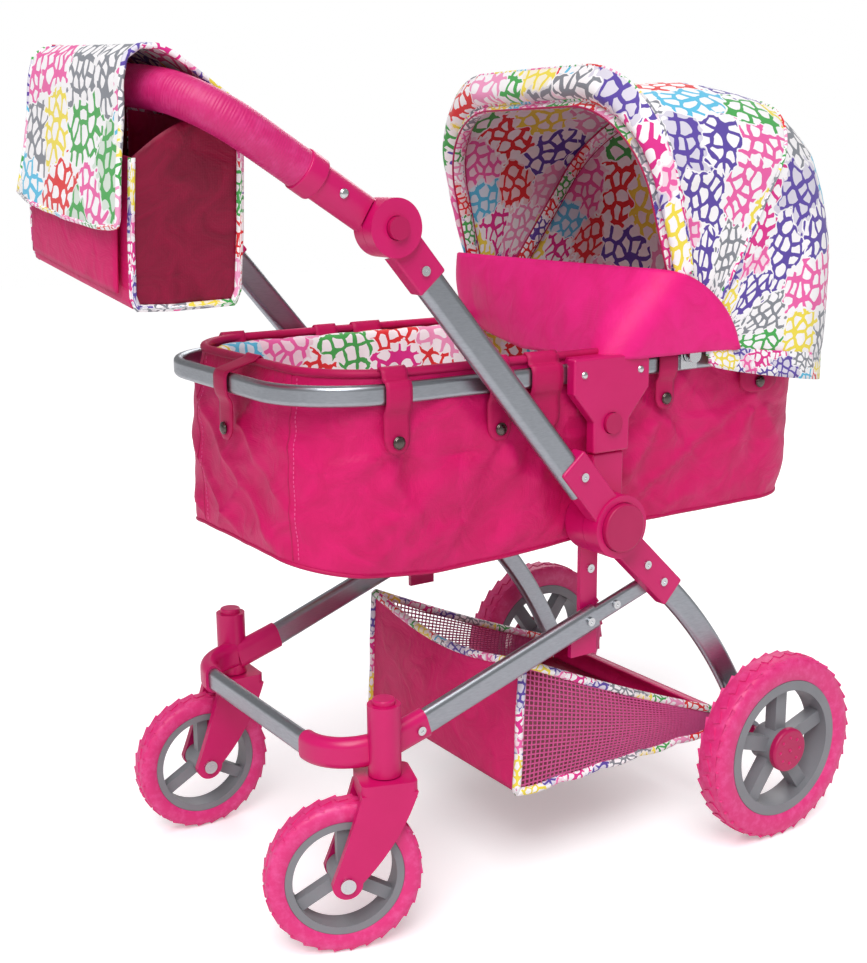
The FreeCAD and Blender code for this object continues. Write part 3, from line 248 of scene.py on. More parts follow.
def printedCotton(name, flowerSize, petalSize):
    # Printed plain-weave cotton: white ground with loose clusters of looped petals, one ink to a cluster.
    # The print is matt and lies in the weave
    made, tree, shader = newMaterial(name, {"Roughness": 0.72, "Sheen Weight": 0.15, "Sheen Roughness": 0.5})
    flat = add(tree, "ShaderNodeAttribute", attribute_name="flat").outputs["Vector"]
    wander = add(tree, "ShaderNodeTexNoise", {"Vector": flat, "Scale": 1 / (17 * mm), "Detail": 1.0})
    centred = add(tree, "ShaderNodeVectorMath", {0: wander.outputs["Color"], 1: (0.5, 0.5, 0.5)},
                  operation="SUBTRACT")
    small = add(tree, "ShaderNodeVectorMath", {0: centred.outputs[0], "Scale": 7 * mm}, operation="SCALE")
    drawn = add(tree, "ShaderNodeVectorMath", {0: flat, 1: small.outputs[0]}, operation="ADD").outputs[0]
    # Clusters break up at their borders, so the petals of two colours mix
    stray = add(tree, "ShaderNodeTexNoise", {"Vector": flat, "Scale": 1 / petalSize, "Detail": 1.0})
    strayed = add(tree, "ShaderNodeVectorMath", {0: stray.outputs["Color"], 1: (0.5, 0.5, 0.5)},
                  operation="SUBTRACT")
    strays = add(tree, "ShaderNodeVectorMath", {0: strayed.outputs[0], "Scale": petalSize * 2.4},
                 operation="SCALE")
    mixed = add(tree, "ShaderNodeVectorMath", {0: drawn, 1: strays.outputs[0]}, operation="ADD").outputs[0]
    flower = add(tree, "ShaderNodeTexVoronoi", {"Vector": mixed, "Scale": 1 / flowerSize, "Randomness": 0.9},
                 voronoi_dimensions="2D")
    border = add(tree, "ShaderNodeTexVoronoi", {"Vector": mixed, "Scale": 1 / flowerSize, "Randomness": 0.9},
                 voronoi_dimensions="2D", feature="DISTANCE_TO_EDGE")
    petal = add(tree, "ShaderNodeTexVoronoi", {"Vector": drawn, "Scale": 1 / petalSize, "Randomness": 0.8},
                voronoi_dimensions="2D", feature="DISTANCE_TO_EDGE")
    loop = add(tree, "ShaderNodeTexVoronoi", {"Vector": drawn, "Scale": 1 / petalSize, "Randomness": 0.8},
               voronoi_dimensions="2D", feature="F1")
    # Each cluster takes one ink
    choice = add(tree, "ShaderNodeSeparateColor", {0: flower.outputs["Color"]})
    ramp = add(tree, "ShaderNodeValToRGB", {0: choice.outputs[0]})
    ramp.color_ramp.interpolation = "CONSTANT"
    for i, colour in enumerate(printColours):
        place = i / len(printColours)
        stop = ramp.color_ramp.elements[i] if i < 2 else ramp.color_ramp.elements.new(place)
        stop.position = place
        stop.color = linear(colour)
    # Ink lies along the petal's edge, thinner where the pen was light
    pen = add(tree, "ShaderNodeTexNoise", {"Vector": flat, "Scale": 1 / (8 * mm), "Detail": 1.0})
    width = add(tree, "ShaderNodeMapRange", {"Value": pen.outputs["Fac"], "From Min": 0.3, "From Max": 0.7,
                                             "To Min": 0.10, "To Max": 0.18})
    onEdge = add(tree, "ShaderNodeMath", {0: petal.outputs["Distance"], 1: width.outputs[0]},
                 operation="LESS_THAN")
    outsideRound = add(tree, "ShaderNodeMath", {0: loop.outputs["Distance"], 1: 0.56},
                       operation="GREATER_THAN")
    ink = add(tree, "ShaderNodeMath", {0: onEdge.outputs[0], 1: outsideRound.outputs[0]},
              operation="MAXIMUM")
    within = add(tree, "ShaderNodeMath", {0: border.outputs["Distance"], 1: 0.03}, operation="GREATER_THAN")
    inked = add(tree, "ShaderNodeMath", {0: ink.outputs[0], 1: within.outputs[0]}, operation="MULTIPLY")
    # One cluster in three has a pale wash behind its petals
    washed = add(tree, "ShaderNodeMath", {0: choice.outputs[1], 1: 0.66}, operation="GREATER_THAN")
    wash = add(tree, "ShaderNodeMath", {0: washed.outputs[0], 1: 0.3}, operation="MULTIPLY")
    ground = add(tree, "ShaderNodeMix", {0: wash.outputs[0], 6: linear("#fbf8fa"), 7: ramp.outputs["Color"]},
                 data_type="RGBA")
    final = add(tree, "ShaderNodeMix", {0: inked.outputs[0], 6: ground.outputs[2], 7: ramp.outputs["Color"]},
                data_type="RGBA")
    warp = add(tree, "ShaderNodeTexWave", {"Vector": flat, "Scale": weaveScale, "Distortion": 0.3},
               bands_direction="X")
    crease = add(tree, "ShaderNodeTexNoise", {"Vector": flat, "Scale": 1 / (30 * mm), "Detail": 3.0,
                                              "Distortion": 0.8})
    fine = add(tree, "ShaderNodeBump", {"Height": warp.outputs["Fac"], "Strength": 0.2,
                                        "Distance": 0.12 * mm})
    folds = add(tree, "ShaderNodeBump", {"Height": crease.outputs["Fac"], "Strength": 0.35,
                                         "Distance": 3 * mm, "Normal": fine.outputs[0]})
    tree.links.new(final.outputs[2], shader.inputs["Base Color"])
    tree.links.new(folds.outputs[0], shader.inputs["Normal"])
    return made


mats = {
    "pinkAbs": mouldedAbs("moulded ABS, hot pink", "#d40e6b", "#c60b60", 0.33, 0.25),
    "deepPinkAbs": mouldedAbs("moulded ABS, deep pink", "#bd0c59", "#ae0950", 0.36, 0.25),
    "greyAbs": mouldedAbs("moulded ABS, silver grey", "#8a8b90", "#7c7d82", 0.42, 0.3),
    "gripFoam": softPvc("extruded soft grip, hot pink", "#cf1b70", "#da3b86"),
    "tyrePvc": softPvc("blow-moulded PVC, hot pink", "#e02a7b", "#ea5297"),
    "tube": anodisedTube("satin anodised aluminium", "#b4b8be", "#989ca3", 0.33),
    "zinc": platedSteel("zinc-plated steel", "#d9dbdd", 0.18),
    "nickel": platedSteel("black nickel snap", "#6a5f5c", 0.2),
    "pinkNylon": wovenNylon("nylon taffeta, hot pink", "#db0f6a", "#cb0b5e", 0.1, 0.55),
    "pinkWebbing": wovenNylon("nylon webbing, hot pink", "#c40c5a", "#b50a51", 0.08, 0.1),
    "pinkApron": wovenNylon("polyester satin, hot pink", "#f01c86", "#e6157a", 0.12, 0.3),
    # Darker pink cloth drawn where the inside lies in shade: painted shade, used for the tub floor, the bag's
    # ends and the basket floor
    "shadedPinkNylon": wovenNylon("nylon taffeta, pink in painted shade", "#8f0a38", "#74082c", 0.05, 0.5),
    "print": printedCotton("printed cotton", 46 * mm, 12.5 * mm),
    "smallPrint": printedCotton("printed cotton binding", 26 * mm, 7 * mm),
    "thread": wovenNylon("polyester thread, pink", "#f268a5", "#e85a98", 0.1, 0.0),
    "netThread": wovenNylon("knitted net, pink", "#d65c96", "#c44c86", 0.2, 0.0),
}
print("materials made")

# Mesh helpers


def linked(name, points, edges=(), faces=()):
    # An object at the origin from points, edges and faces
    mesh = bpy.data.meshes.new(name)
    mesh.from_pydata([tuple(p) for p in points], list(edges), list(faces))
    piece = bpy.data.objects.new(name, mesh)
    scene.collection.objects.link(piece)
    return piece


def pointVectors(piece, name, values):
    # A named vector for each point of a piece
    layer = piece.data.attributes.new(name, "FLOAT_VECTOR", "POINT")
    layer.data.foreach_set("vector", np.array([tuple(v) for v in values], dtype=np.float32).ravel())


def makePiece(name, points, faces, material, flat=None):
    # A smooth piece, with the cloth's own flat coordinates where it has them
    piece = linked(name, points, faces=faces)
    piece.data.polygons.foreach_set("use_smooth", [True] * len(piece.data.polygons))
    if flat is not None:
        pointVectors(piece, "flat", flat)
    piece.data.materials.append(mats[material])
    piece.data.update()
    return piece


def settle(piece):
    # Turns a piece with modifiers into a plain mesh and removes them
    bpy.context.view_layer.update()
    shaped = piece.evaluated_get(bpy.context.evaluated_depsgraph_get())
    mesh = bpy.data.meshes.new_from_object(shaped)
    piece.modifiers.clear()
    old = piece.data
    piece.data = mesh
    if old.users == 0:
        bpy.data.meshes.remove(old)


def thickened(piece, thickness, offset):
    wall = piece.modifiers.new("wall", "SOLIDIFY")
    wall.thickness = thickness
    wall.offset = offset
    wall.use_rim = True
    settle(piece)


def clothGrid(name, rows, columns, place, material, thickness, closed=False, offset=0.0):
    # A cloth panel from a rule: place(u, v) for u along its width and v along its length, both 0 to 1.
    # Returns the piece and the panel's flat size, measured along its middle lines
    count = columns if closed else columns + 1
    grid = np.array([[place(c / columns, r / rows) for c in range(count)] for r in range(rows + 1)])
    loop = np.concatenate([grid, grid[:, :1]], axis=1) if closed else grid
    across = np.linalg.norm(np.diff(loop, axis=1), axis=2)
    down = np.linalg.norm(np.diff(grid, axis=0), axis=2)
    width, length = across.sum(axis=1).mean(), down.sum(axis=0).mean()
    acrossAt = np.concatenate([[0], across.mean(axis=0).cumsum()])
    downAt = np.concatenate([[0], down.mean(axis=1).cumsum()])
    flat = [(acrossAt[c], downAt[r], 0) for r in range(rows + 1) for c in range(count)]
    faces = []
    for r in range(rows):
        for c in range(columns):
            d = (c + 1) % count
            faces.append((r * count + c, r * count + d, (r + 1) * count + d, (r + 1) * count + c))
    piece = makePiece(name, grid.reshape(-1, 3), faces, material, flat)
    if thickness:
        thickened(piece, thickness, offset)
    return piece, (float(width), float(length))


def tubeAlong(name, path, radius, material, sidesCount, closed=False):
    # A round tube along a list of points, its flat coordinates running along it
    path = [Vector(p) for p in path]
    count = len(path)
    points, flat, faces = [], [], []
    along = 0.0
    normal = None
    for i, p in enumerate(path):
        before = path[i - 1] if i or closed else p
        after = path[(i + 1) % count] if i < count - 1 or closed else p
        tangent = (after - before).normalized()
        if normal is None:
            normal = tangent.orthogonal().normalized()
        normal = (normal - tangent * normal.dot(tangent)).normalized()
        side = tangent.cross(normal)
        if i:
            along += (p - path[i - 1]).length
        for k in range(sidesCount):
            a = 2 * math.pi * k / sidesCount
            points.append(p + normal * math.cos(a) * radius + side * math.sin(a) * radius)
            flat.append((along, radius * a, 0))
    spans = count if closed else count - 1
    for i in range(spans):
        j = (i + 1) % count
        for k in range(sidesCount):
            m = (k + 1) % sidesCount
            faces.append((i * sidesCount + k, i * sidesCount + m, j * sidesCount + m, j * sidesCount + k))
    if not closed:
        faces.append(tuple(reversed(range(sidesCount))))
        faces.append(tuple((count - 1) * sidesCount + k for k in range(sidesCount)))
    return makePiece(name, points, faces, material, flat)


def trim(name, path, radius, material, body, sidesCount=8, closed=False):
    # Piping, a binding or a welt that rides on a body
    piece = tubeAlong(name, path, radius, material, sidesCount, closed)
    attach(piece, body)


def cloth(piece, body):
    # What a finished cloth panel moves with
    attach(piece, body)


def wave(x, y, size, seed):
    # Smooth noise from -1 to 1 with a feature size in metres
    return noise.noise(Vector((x / size, y / size, seed * 7.31)))


# Geometry nodes: rows of small things


def startTree(name, inputs):
    tree = bpy.data.node_groups.new(name, "GeometryNodeTree")
    tree.interface.new_socket("Geometry", in_out="INPUT", socket_type="NodeSocketGeometry")
    for label, kind in inputs.items():
        tree.interface.new_socket(label, in_out="INPUT", socket_type=kind)
    tree.interface.new_socket("Geometry", in_out="OUTPUT", socket_type="NodeSocketGeometry")
    source = tree.nodes.new("NodeGroupInput")
    return tree, source


def endTree(tree, geometry):
    whole = add(tree, "GeometryNodeRealizeInstances", {"Geometry": geometry})
    surfaced = add(tree, "GeometryNodeSetMaterial", {"Geometry": whole.outputs[0]})
    smooth = add(tree, "GeometryNodeSetShadeSmooth", {"Geometry": surfaced.outputs[0], "Shade Smooth": True})
    add(tree, "NodeGroupOutput", {"Geometry": smooth.outputs[0]})
    return surfaced


def grown(piece, tree, values, material):
    # Runs a tree on a piece and keeps the result as a plain mesh
    surfaced = [n for n in tree.nodes if n.bl_idname == "GeometryNodeSetMaterial"][0]
    surfaced.inputs["Material"].default_value = mats[material]
    modifier = piece.modifiers.new("grow", "NODES")
    modifier.node_group = tree
    names = {s.name: s.identifier for s in tree.interface.items_tree if s.in_out == "INPUT"}
    for label, value in values.items():
        modifier[names[label]] = value
    settle(piece)
    piece.data.materials.clear()
    piece.data.materials.append(mats[material])


def studTree():
    # Round heads on points: a low cylinder with a dome on it
    tree, source = startTree("round heads", {"Radius": "NodeSocketFloat", "Height": "NodeSocketFloat",
                                             "Dome": "NodeSocketFloat"})
    base = add(tree, "GeometryNodeMeshCylinder", {"Vertices": 20, "Radius": source.outputs["Radius"],
                                                  "Depth": source.outputs["Height"]})
    ball = add(tree, "GeometryNodeMeshUVSphere", {"Segments": 20, "Rings": 8,
                                                  "Radius": source.outputs["Radius"]})
    half = add(tree, "ShaderNodeMath", {0: source.outputs["Height"], 1: 0.5}, operation="MULTIPLY")
    lift = add(tree, "ShaderNodeCombineXYZ", {"Z": half.outputs[0]})
    flatten = add(tree, "ShaderNodeCombineXYZ", {"X": 0.92, "Y": 0.92, "Z": source.outputs["Dome"]})
    dome = add(tree, "GeometryNodeTransform", {"Geometry": ball.outputs[0], "Translation": lift.outputs[0],
                                               "Scale": flatten.outputs[0]})
    head = add(tree, "GeometryNodeJoinGeometry")
    tree.links.new(base.outputs[0], head.inputs[0])
    tree.links.new(dome.outputs[0], head.inputs[0])
    facing = add(tree, "GeometryNodeInputNamedAttribute", {"Name": "facing"}, data_type="FLOAT_VECTOR")
    turn = add(tree, "FunctionNodeAlignRotationToVector", {"Vector": facing.outputs[0]}, axis="Z")
    placed = add(tree, "GeometryNodeInstanceOnPoints", {"Points": source.outputs["Geometry"],
                                                        "Instance": head.outputs[0],
                                                        "Rotation": turn.outputs[0]})
    endTree(tree, placed.outputs[0])
    return tree


def stitchTree():
    # Short threads laid end to end along an edge path
    tree, source = startTree("stitches", {"Pitch": "NodeSocketFloat", "Thread": "NodeSocketFloat"})
    curve = add(tree, "GeometryNodeMeshToCurve", {"Mesh": source.outputs["Geometry"]})
    spaced = add(tree, "GeometryNodeResampleCurve", {"Curve": curve.outputs[0],
                                                     "Length": source.outputs["Pitch"]}, mode="LENGTH")
    stitch = add(tree, "GeometryNodeMeshUVSphere", {"Segments": 6, "Rings": 4,
                                                    "Radius": source.outputs["Thread"]})
    shape = add(tree, "GeometryNodeTransform", {"Geometry": stitch.outputs[0], "Scale": (1.0, 1.0, 3.2)})
    tangent = add(tree, "GeometryNodeInputTangent")
    turn = add(tree, "FunctionNodeAlignRotationToVector", {"Vector": tangent.outputs[0]}, axis="Z")
    placed = add(tree, "GeometryNodeInstanceOnPoints", {"Points": spaced.outputs[0],
                                                        "Instance": shape.outputs[0],
                                                        "Rotation": turn.outputs[0]})
    endTree(tree, placed.outputs[0])
    return tree


def gripTree():
    # A sleeve whose radius rises and falls along its path in fine ribs
    tree, source = startTree("ribbed sleeve", {"Radius": "NodeSocketFloat", "Rib depth": "NodeSocketFloat",
                                               "Rib pitch": "NodeSocketFloat"})
    curve = add(tree, "GeometryNodeMeshToCurve", {"Mesh": source.outputs["Geometry"]})
    step = add(tree, "ShaderNodeMath", {0: source.outputs["Rib pitch"], 1: 4.0}, operation="DIVIDE")
    fine = add(tree, "GeometryNodeResampleCurve", {"Curve": curve.outputs[0], "Length": step.outputs[0]},
               mode="LENGTH")
    index = add(tree, "GeometryNodeInputIndex")
    phase = add(tree, "ShaderNodeMath", {0: index.outputs[0], 1: math.pi / 2}, operation="MULTIPLY")
    swing = add(tree, "ShaderNodeMath", {0: phase.outputs[0]}, operation="COSINE")
    rib = add(tree, "ShaderNodeMath", {0: swing.outputs[0], 1: source.outputs["Rib depth"],
                                       2: source.outputs["Radius"]}, operation="MULTIPLY_ADD")
    sized = add(tree, "GeometryNodeSetCurveRadius", {"Curve": fine.outputs[0], "Radius": rib.outputs[0]})
    ring = add(tree, "GeometryNodeCurvePrimitiveCircle", {"Resolution": 28, "Radius": 1.0})
    skin = add(tree, "GeometryNodeCurveToMesh", {"Curve": sized.outputs[0],
                                                 "Profile Curve": ring.outputs[0], "Fill Caps": True})
    if "Scale" in skin.inputs:
        radius = add(tree, "GeometryNodeInputRadius")
        tree.links.new(radius.outputs[0], skin.inputs["Scale"])
    endTree(tree, skin.outputs[0])
    return tree


def netTree():
    # Knitted net: threads both ways between four corners
    corners = ["Corner A", "Corner B", "Corner C", "Corner D"]
    inputs = {"Across": "NodeSocketInt", "Down": "NodeSocketInt", "Thread": "NodeSocketFloat",
              "Belly": "NodeSocketFloat"}
    inputs.update({c: "NodeSocketVector" for c in corners})
    tree, source = startTree("net", inputs)
    grid = add(tree, "GeometryNodeMeshGrid", {"Size X": 1.0, "Size Y": 1.0,
                                              "Vertices X": source.outputs["Across"],
                                              "Vertices Y": source.outputs["Down"]})
    place = add(tree, "GeometryNodeInputPosition")
    shifted = add(tree, "ShaderNodeVectorMath", {0: place.outputs[0], 1: (0.5, 0.5, 0)}, operation="ADD")
    axes = add(tree, "ShaderNodeSeparateXYZ", {0: shifted.outputs[0]})
    low = add(tree, "ShaderNodeMix", {0: axes.outputs[0], 4: source.outputs["Corner A"],
                                      5: source.outputs["Corner B"]}, data_type="VECTOR")
    high = add(tree, "ShaderNodeMix", {0: axes.outputs[0], 4: source.outputs["Corner D"],
                                       5: source.outputs["Corner C"]}, data_type="VECTOR")
    both = add(tree, "ShaderNodeMix", {0: axes.outputs[1], 4: low.outputs[1], 5: high.outputs[1]},
               data_type="VECTOR")
    turns = add(tree, "ShaderNodeMath", {0: axes.outputs[0], 1: math.pi}, operation="MULTIPLY")
    arch = add(tree, "ShaderNodeMath", {0: turns.outputs[0]}, operation="SINE")
    turnsDown = add(tree, "ShaderNodeMath", {0: axes.outputs[1], 1: math.pi}, operation="MULTIPLY")
    archDown = add(tree, "ShaderNodeMath", {0: turnsDown.outputs[0]}, operation="SINE")
    bulge = add(tree, "ShaderNodeMath", {0: arch.outputs[0], 1: archDown.outputs[0]}, operation="MULTIPLY")
    deep = add(tree, "ShaderNodeMath", {0: bulge.outputs[0], 1: source.outputs["Belly"]},
               operation="MULTIPLY")
    outward = add(tree, "ShaderNodeCombineXYZ", {"Y": deep.outputs[0]})
    final = add(tree, "ShaderNodeVectorMath", {0: both.outputs[1], 1: outward.outputs[0]}, operation="ADD")
    hung = add(tree, "GeometryNodeSetPosition", {"Geometry": grid.outputs[0], "Position": final.outputs[0]})
    lines = add(tree, "GeometryNodeMeshToCurve", {"Mesh": hung.outputs[0]})
    ring = add(tree, "GeometryNodeCurvePrimitiveCircle", {"Resolution": 4,
                                                          "Radius": source.outputs["Thread"]})
    threads = add(tree, "GeometryNodeCurveToMesh", {"Curve": lines.outputs[0],
                                                    "Profile Curve": ring.outputs[0]})
    endTree(tree, threads.outputs[0])
    return tree


def lugTree():
    # Tread blocks in staggered rows round a tyre that lies about Z
    tree, source = startTree("tread", {"Radius": "NodeSocketFloat", "Count": "NodeSocketInt",
                                       "Row": "NodeSocketFloat", "Long": "NodeSocketFloat",
                                       "Wide": "NodeSocketFloat", "Deep": "NodeSocketFloat",
                                       "Shoulder": "NodeSocketFloat"})
    ends = [source.outputs["Geometry"]]
    for rowSide, phase, slant, low in ((0, 0.0, 0.35, 0.0), (1, 0.5, 0.25, 1.0), (-1, 0.5, -0.25, 1.0)):
        drop = add(tree, "ShaderNodeMath", {0: source.outputs["Shoulder"], 1: low}, operation="MULTIPLY")
        reach = add(tree, "ShaderNodeMath", {0: source.outputs["Radius"], 1: drop.outputs[0]},
                    operation="SUBTRACT")
        ring = add(tree, "GeometryNodeMeshCircle", {"Vertices": source.outputs["Count"],
                                                    "Radius": reach.outputs[0]})
        size = add(tree, "ShaderNodeCombineXYZ", {"X": source.outputs["Deep"], "Y": source.outputs["Long"],
                                                  "Z": source.outputs["Wide"]})
        block = add(tree, "GeometryNodeMeshCube", {"Size": size.outputs[0]})
        tilted = add(tree, "GeometryNodeTransform", {"Geometry": block.outputs[0],
                                                     "Rotation": (slant, rowSide * 0.34, 0)})
        index = add(tree, "GeometryNodeInputIndex")
        share = add(tree, "ShaderNodeMath", {0: index.outputs[0], 1: source.outputs["Count"]},
                    operation="DIVIDE")
        angle = add(tree, "ShaderNodeMath", {0: share.outputs[0], 1: 2 * math.pi}, operation="MULTIPLY")
        turn = add(tree, "ShaderNodeCombineXYZ", {"Z": angle.outputs[0]})
        placed = add(tree, "GeometryNodeInstanceOnPoints", {"Points": ring.outputs[0],
                                                            "Instance": tilted.outputs[0],
                                                            "Rotation": turn.outputs[0]})
        half = add(tree, "ShaderNodeMath", {0: math.pi * 2 * phase, 1: source.outputs["Count"]},
                   operation="DIVIDE")
        spun = add(tree, "ShaderNodeCombineXYZ", {"Z": half.outputs[0]})
        away = add(tree, "ShaderNodeMath", {0: source.outputs["Row"], 1: float(rowSide)},
                   operation="MULTIPLY")
        aside = add(tree, "ShaderNodeCombineXYZ", {"Z": away.outputs[0]})
        row = add(tree, "GeometryNodeTransform", {"Geometry": placed.outputs[0],
                                                  "Translation": aside.outputs[0],
                                                  "Rotation": spun.outputs[0]})
        ends.append(row.outputs[0])
    whole = add(tree, "GeometryNodeJoinGeometry")
    for end in ends:
        tree.links.new(end, whole.inputs[0])
    endTree(tree, whole.outputs[0])
    return tree


trees = {"studs": studTree(), "stitches": stitchTree(), "grip": gripTree(), "net": netTree(),
         "lugs": lugTree()}
print("node trees made")


def studs(name, places, facings, radius, height, dome, material, body):
    # Round heads at some places, each facing its own way
    piece = linked(name, places)
    pointVectors(piece, "facing", facings)
    grown(piece, trees["studs"], {"Radius": radius, "Height": height, "Dome": dome}, material)
    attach(piece, body)


stitchPitch = 3.4 * mm


def stitches(name, paths, body, thread):
    # Edge paths, one for each seam, grown into stitches in one mesh
    points, edges = [], []
    for path in paths:
        base = len(points)
        points += [tuple(p) for p in path]
        edges += [(base + i, base + i + 1) for i in range(len(path) - 1)]
    piece = linked(name, points, edges)
    grown(piece, trees["stitches"], {"Pitch": stitchPitch, "Thread": thread}, "thread")
    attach(piece, body)


# CAD pieces keep their shape and get their finish

finishes = {
    "tube": ["front_leg_left", "front_leg_right", "leg_inserts", "front_cross_bar", "rear_leg_left",
             "rear_leg_right", "push_arm_left", "push_arm_right", "handle_bow", "bassinet_rim"],
    "pinkAbs": ["elbow_left", "elbow_right", "hub_body_left", "hub_body_right", "arm_hub_left",
                "arm_hub_right", "hinge_base_left", "hinge_base_right", "hinge_head_left", "hinge_head_right",
                "side_bracket_left", "side_bracket_right", "caster_fork_left", "caster_fork_right",
                "hub_struts", "axle_tube", "housing_caps"],
    "deepPinkAbs": ["hub_button_left", "hub_button_right", "height_button_left", "height_button_right",
                    "bracket_button_left", "bracket_button_right", "rear_hub_cap_left", "rear_hub_cap_right"],
    "greyAbs": ["rear_rim_left", "rear_rim_right", "front_rim_left", "front_rim_right"],
    "zinc": ["rear_axle", "caster_bolt_left", "caster_bolt_right", "chassis_screws", "arm_screws",
             "hood_pivots", "hood_bow_front", "hood_bow_middle"],
}
for finish, nodeNames in finishes.items():
    for nodeName in nodeNames:
        mesh = frame["nodes"][nodeName].data
        mesh.materials.clear()
        mesh.materials.append(mats[finish])
print("CAD pieces finished")

# Wheels

wheel = {
    "treadDepth": 2.2 * mm, "standOut": 0.8 * mm, "rimGap": 0.3 * mm, "wallShare": 0.22, "beadShare": 0.42,
    "rear": {"width": 29 * mm, "lugs": 36, "long": 10.5 * mm, "wide": 6.8 * mm, "row": 8.4 * mm,
             "shoulder": 2.3 * mm},
    "front": {"width": 23 * mm, "lugs": 30, "long": 9.2 * mm, "wide": 5.3 * mm, "row": 6.6 * mm,
              "shoulder": 1.9 * mm},
}


def tyreBody(name, radius, inner, width):
    # Revolved carcass with square shoulders, closed on the inside
    steps, turns = 14, 96
    wall, bead = wheel["wallShare"], width * wheel["beadShare"]
    profile = [(inner, -bead)]
    for i in range(steps + 1):
        a = math.pi * i / steps
        bulge = math.copysign(abs(math.cos(a)) ** 0.45, math.cos(a))
        rise = abs(math.sin(a)) ** 0.55
        profile.append((inner + (radius - inner) * (wall + (1 - wall) * rise), -width / 2 * bulge))
    profile.append((inner, bead))
    points, faces = [], []
    count = len(profile)
    for t in range(turns):
        a = 2 * math.pi * t / turns
        points += [(r * math.cos(a), r * math.sin(a), z) for r, z in profile]
    for t in range(turns):
        n = (t + 1) % turns
        for k in range(count):
            m = (k + 1) % count
            faces.append((t * count + k, n * count + k, n * count + m, t * count + m))
    return makePiece(name, points, faces, "tyrePvc")


def makeTyre(kind, sideName):
    sizes = wheel[kind]
    low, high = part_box(kind + "_tyre_" + sideName)
    centre = (low + high) / 2
    radius = (high.z - low.z) / 2
    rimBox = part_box(kind + "_rim_" + sideName)
    inner = (rimBox[1].z - rimBox[0].z) / 2 + wheel["rimGap"]
    body = kind + "_wheel_" + sideName
    across = Vector([joint["axis"] for joint in joints if joint["child"] == body][0])
    piece = tyreBody(kind + "_tread_tyre_" + sideName, radius - wheel["standOut"], inner, sizes["width"])
    grown(piece, trees["lugs"], {
        "Radius": radius - wheel["treadDepth"] / 2, "Count": sizes["lugs"], "Row": sizes["row"],
        "Long": sizes["long"], "Wide": sizes["wide"], "Deep": wheel["treadDepth"],
        "Shoulder": sizes["shoulder"]}, "tyrePvc")
    piece.data.transform(Matrix.Translation(centre) @ across.to_track_quat("Z", "X").to_matrix().to_4x4())
    faces = piece.data.polygons
    faces.foreach_set("use_smooth", [len(f.vertices) == 4 and f.area > 0 for f in faces])
    crisp = piece.modifiers.new("crisp", "EDGE_SPLIT")
    crisp.split_angle = math.radians(40)
    settle(piece)
    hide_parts(kind + "_tyre_" + sideName)
    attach(piece, body)


for sideName in sides:
    makeTyre("rear", sideName)
    makeTyre("front", sideName)
print("tyres made")

hubDots = {"ring": 12 * mm, "count": 8, "radius": 1.7 * mm, "height": 0.6 * mm, "dome": 0.6, "sunk": 0.4 * mm}
for sideName, side in sides.items():
    low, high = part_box("rear_hub_cap_" + sideName)
    centre = (low + high) / 2
    face = high.y if side > 0 else low.y
    places = [Vector((centre.x, face, centre.z))]
    for i in range(hubDots["count"]):
        a = 2 * math.pi * i / hubDots["count"]
        places.append(Vector((centre.x + hubDots["ring"] * math.cos(a), face - side * hubDots["sunk"],
                              centre.z + hubDots["ring"] * math.sin(a))))
    studs("hub_cap_dots_" + sideName, places, [Vector((0, side, 0))] * len(places), hubDots["radius"],
          hubDots["height"], hubDots["dome"], "pinkAbs", "rear_wheel_" + sideName)

# Handle grip

grip = {
    "radius": 14.1 * mm, "ribDepth": 0.13 * mm, "ribPitch": 1.9 * mm, "rise": 32.6, "start": 62 * mm,
    "collar": 12 * mm, "collarRadius": 15.3 * mm, "collarBevel": 0.9 * mm, "cornerRadius": 54 * mm,
    "cornerTurn": 75.0, "leg": 117 * mm, "half": 150.5 * mm,
}


def gripPoint(distance, y):
    a = math.radians(grip["rise"])
    return Vector((hinge.x - distance * math.cos(a), y, hinge.z + distance * math.sin(a)))


def gripPath(first):
    # Centre line of the handle bow from the right leg to the left leg
    r, turn = grip["cornerRadius"], math.radians(grip["cornerTurn"])
    half = math.pi / 2 - turn
    out, inward = r * math.sin(turn), r * (1 - math.cos(turn))
    archRadius = (grip["half"] - inward) / math.sin(half)
    legSteps, cornerSteps = 8, 15
    places = [(d, -grip["half"]) for d in np.linspace(first, grip["leg"], legSteps)]
    for a in np.linspace(0, turn, cornerSteps + 1)[1:]:
        places.append((grip["leg"] + r * math.sin(a), -grip["half"] + r * (1 - math.cos(a))))
    for b in np.linspace(-half, half, 24)[1:-1]:
        places.append((grip["leg"] + out + archRadius * (math.cos(b) - math.cos(half)),
                       archRadius * math.sin(b)))
    mirrored = [(d, -y) for d, y in reversed(places[:legSteps + cornerSteps])]
    return [gripPoint(d, y) for d, y in places + mirrored]


def makeGrip():
    path = gripPath(grip["start"] + grip["collar"])
    piece = linked("grip_sleeve", path, [(i, i + 1) for i in range(len(path) - 1)])
    grown(piece, trees["grip"], {"Radius": grip["radius"], "Rib depth": grip["ribDepth"],
                                 "Rib pitch": grip["ribPitch"]}, "gripFoam")
    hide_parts("handle_grip")
    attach(piece, "handle")
    for sideName, side in sides.items():
        first, last = grip["start"], grip["start"] + grip["collar"]
        ends = [gripPoint(d, side * grip["half"]) for d in (first - 1 * mm, first + 1 * mm, last - 1 * mm,
                                                            last + 1.5 * mm)]
        collar = tubeAlong("grip_collar_" + sideName, ends, grip["collarRadius"], "pinkAbs", 32)
        rounded = collar.modifiers.new("rounded", "BEVEL")
        rounded.width = grip["collarBevel"]
        rounded.segments = 2
        settle(collar)
        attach(collar, "handle")


makeGrip()
print("grip made")

# Bassinet tub

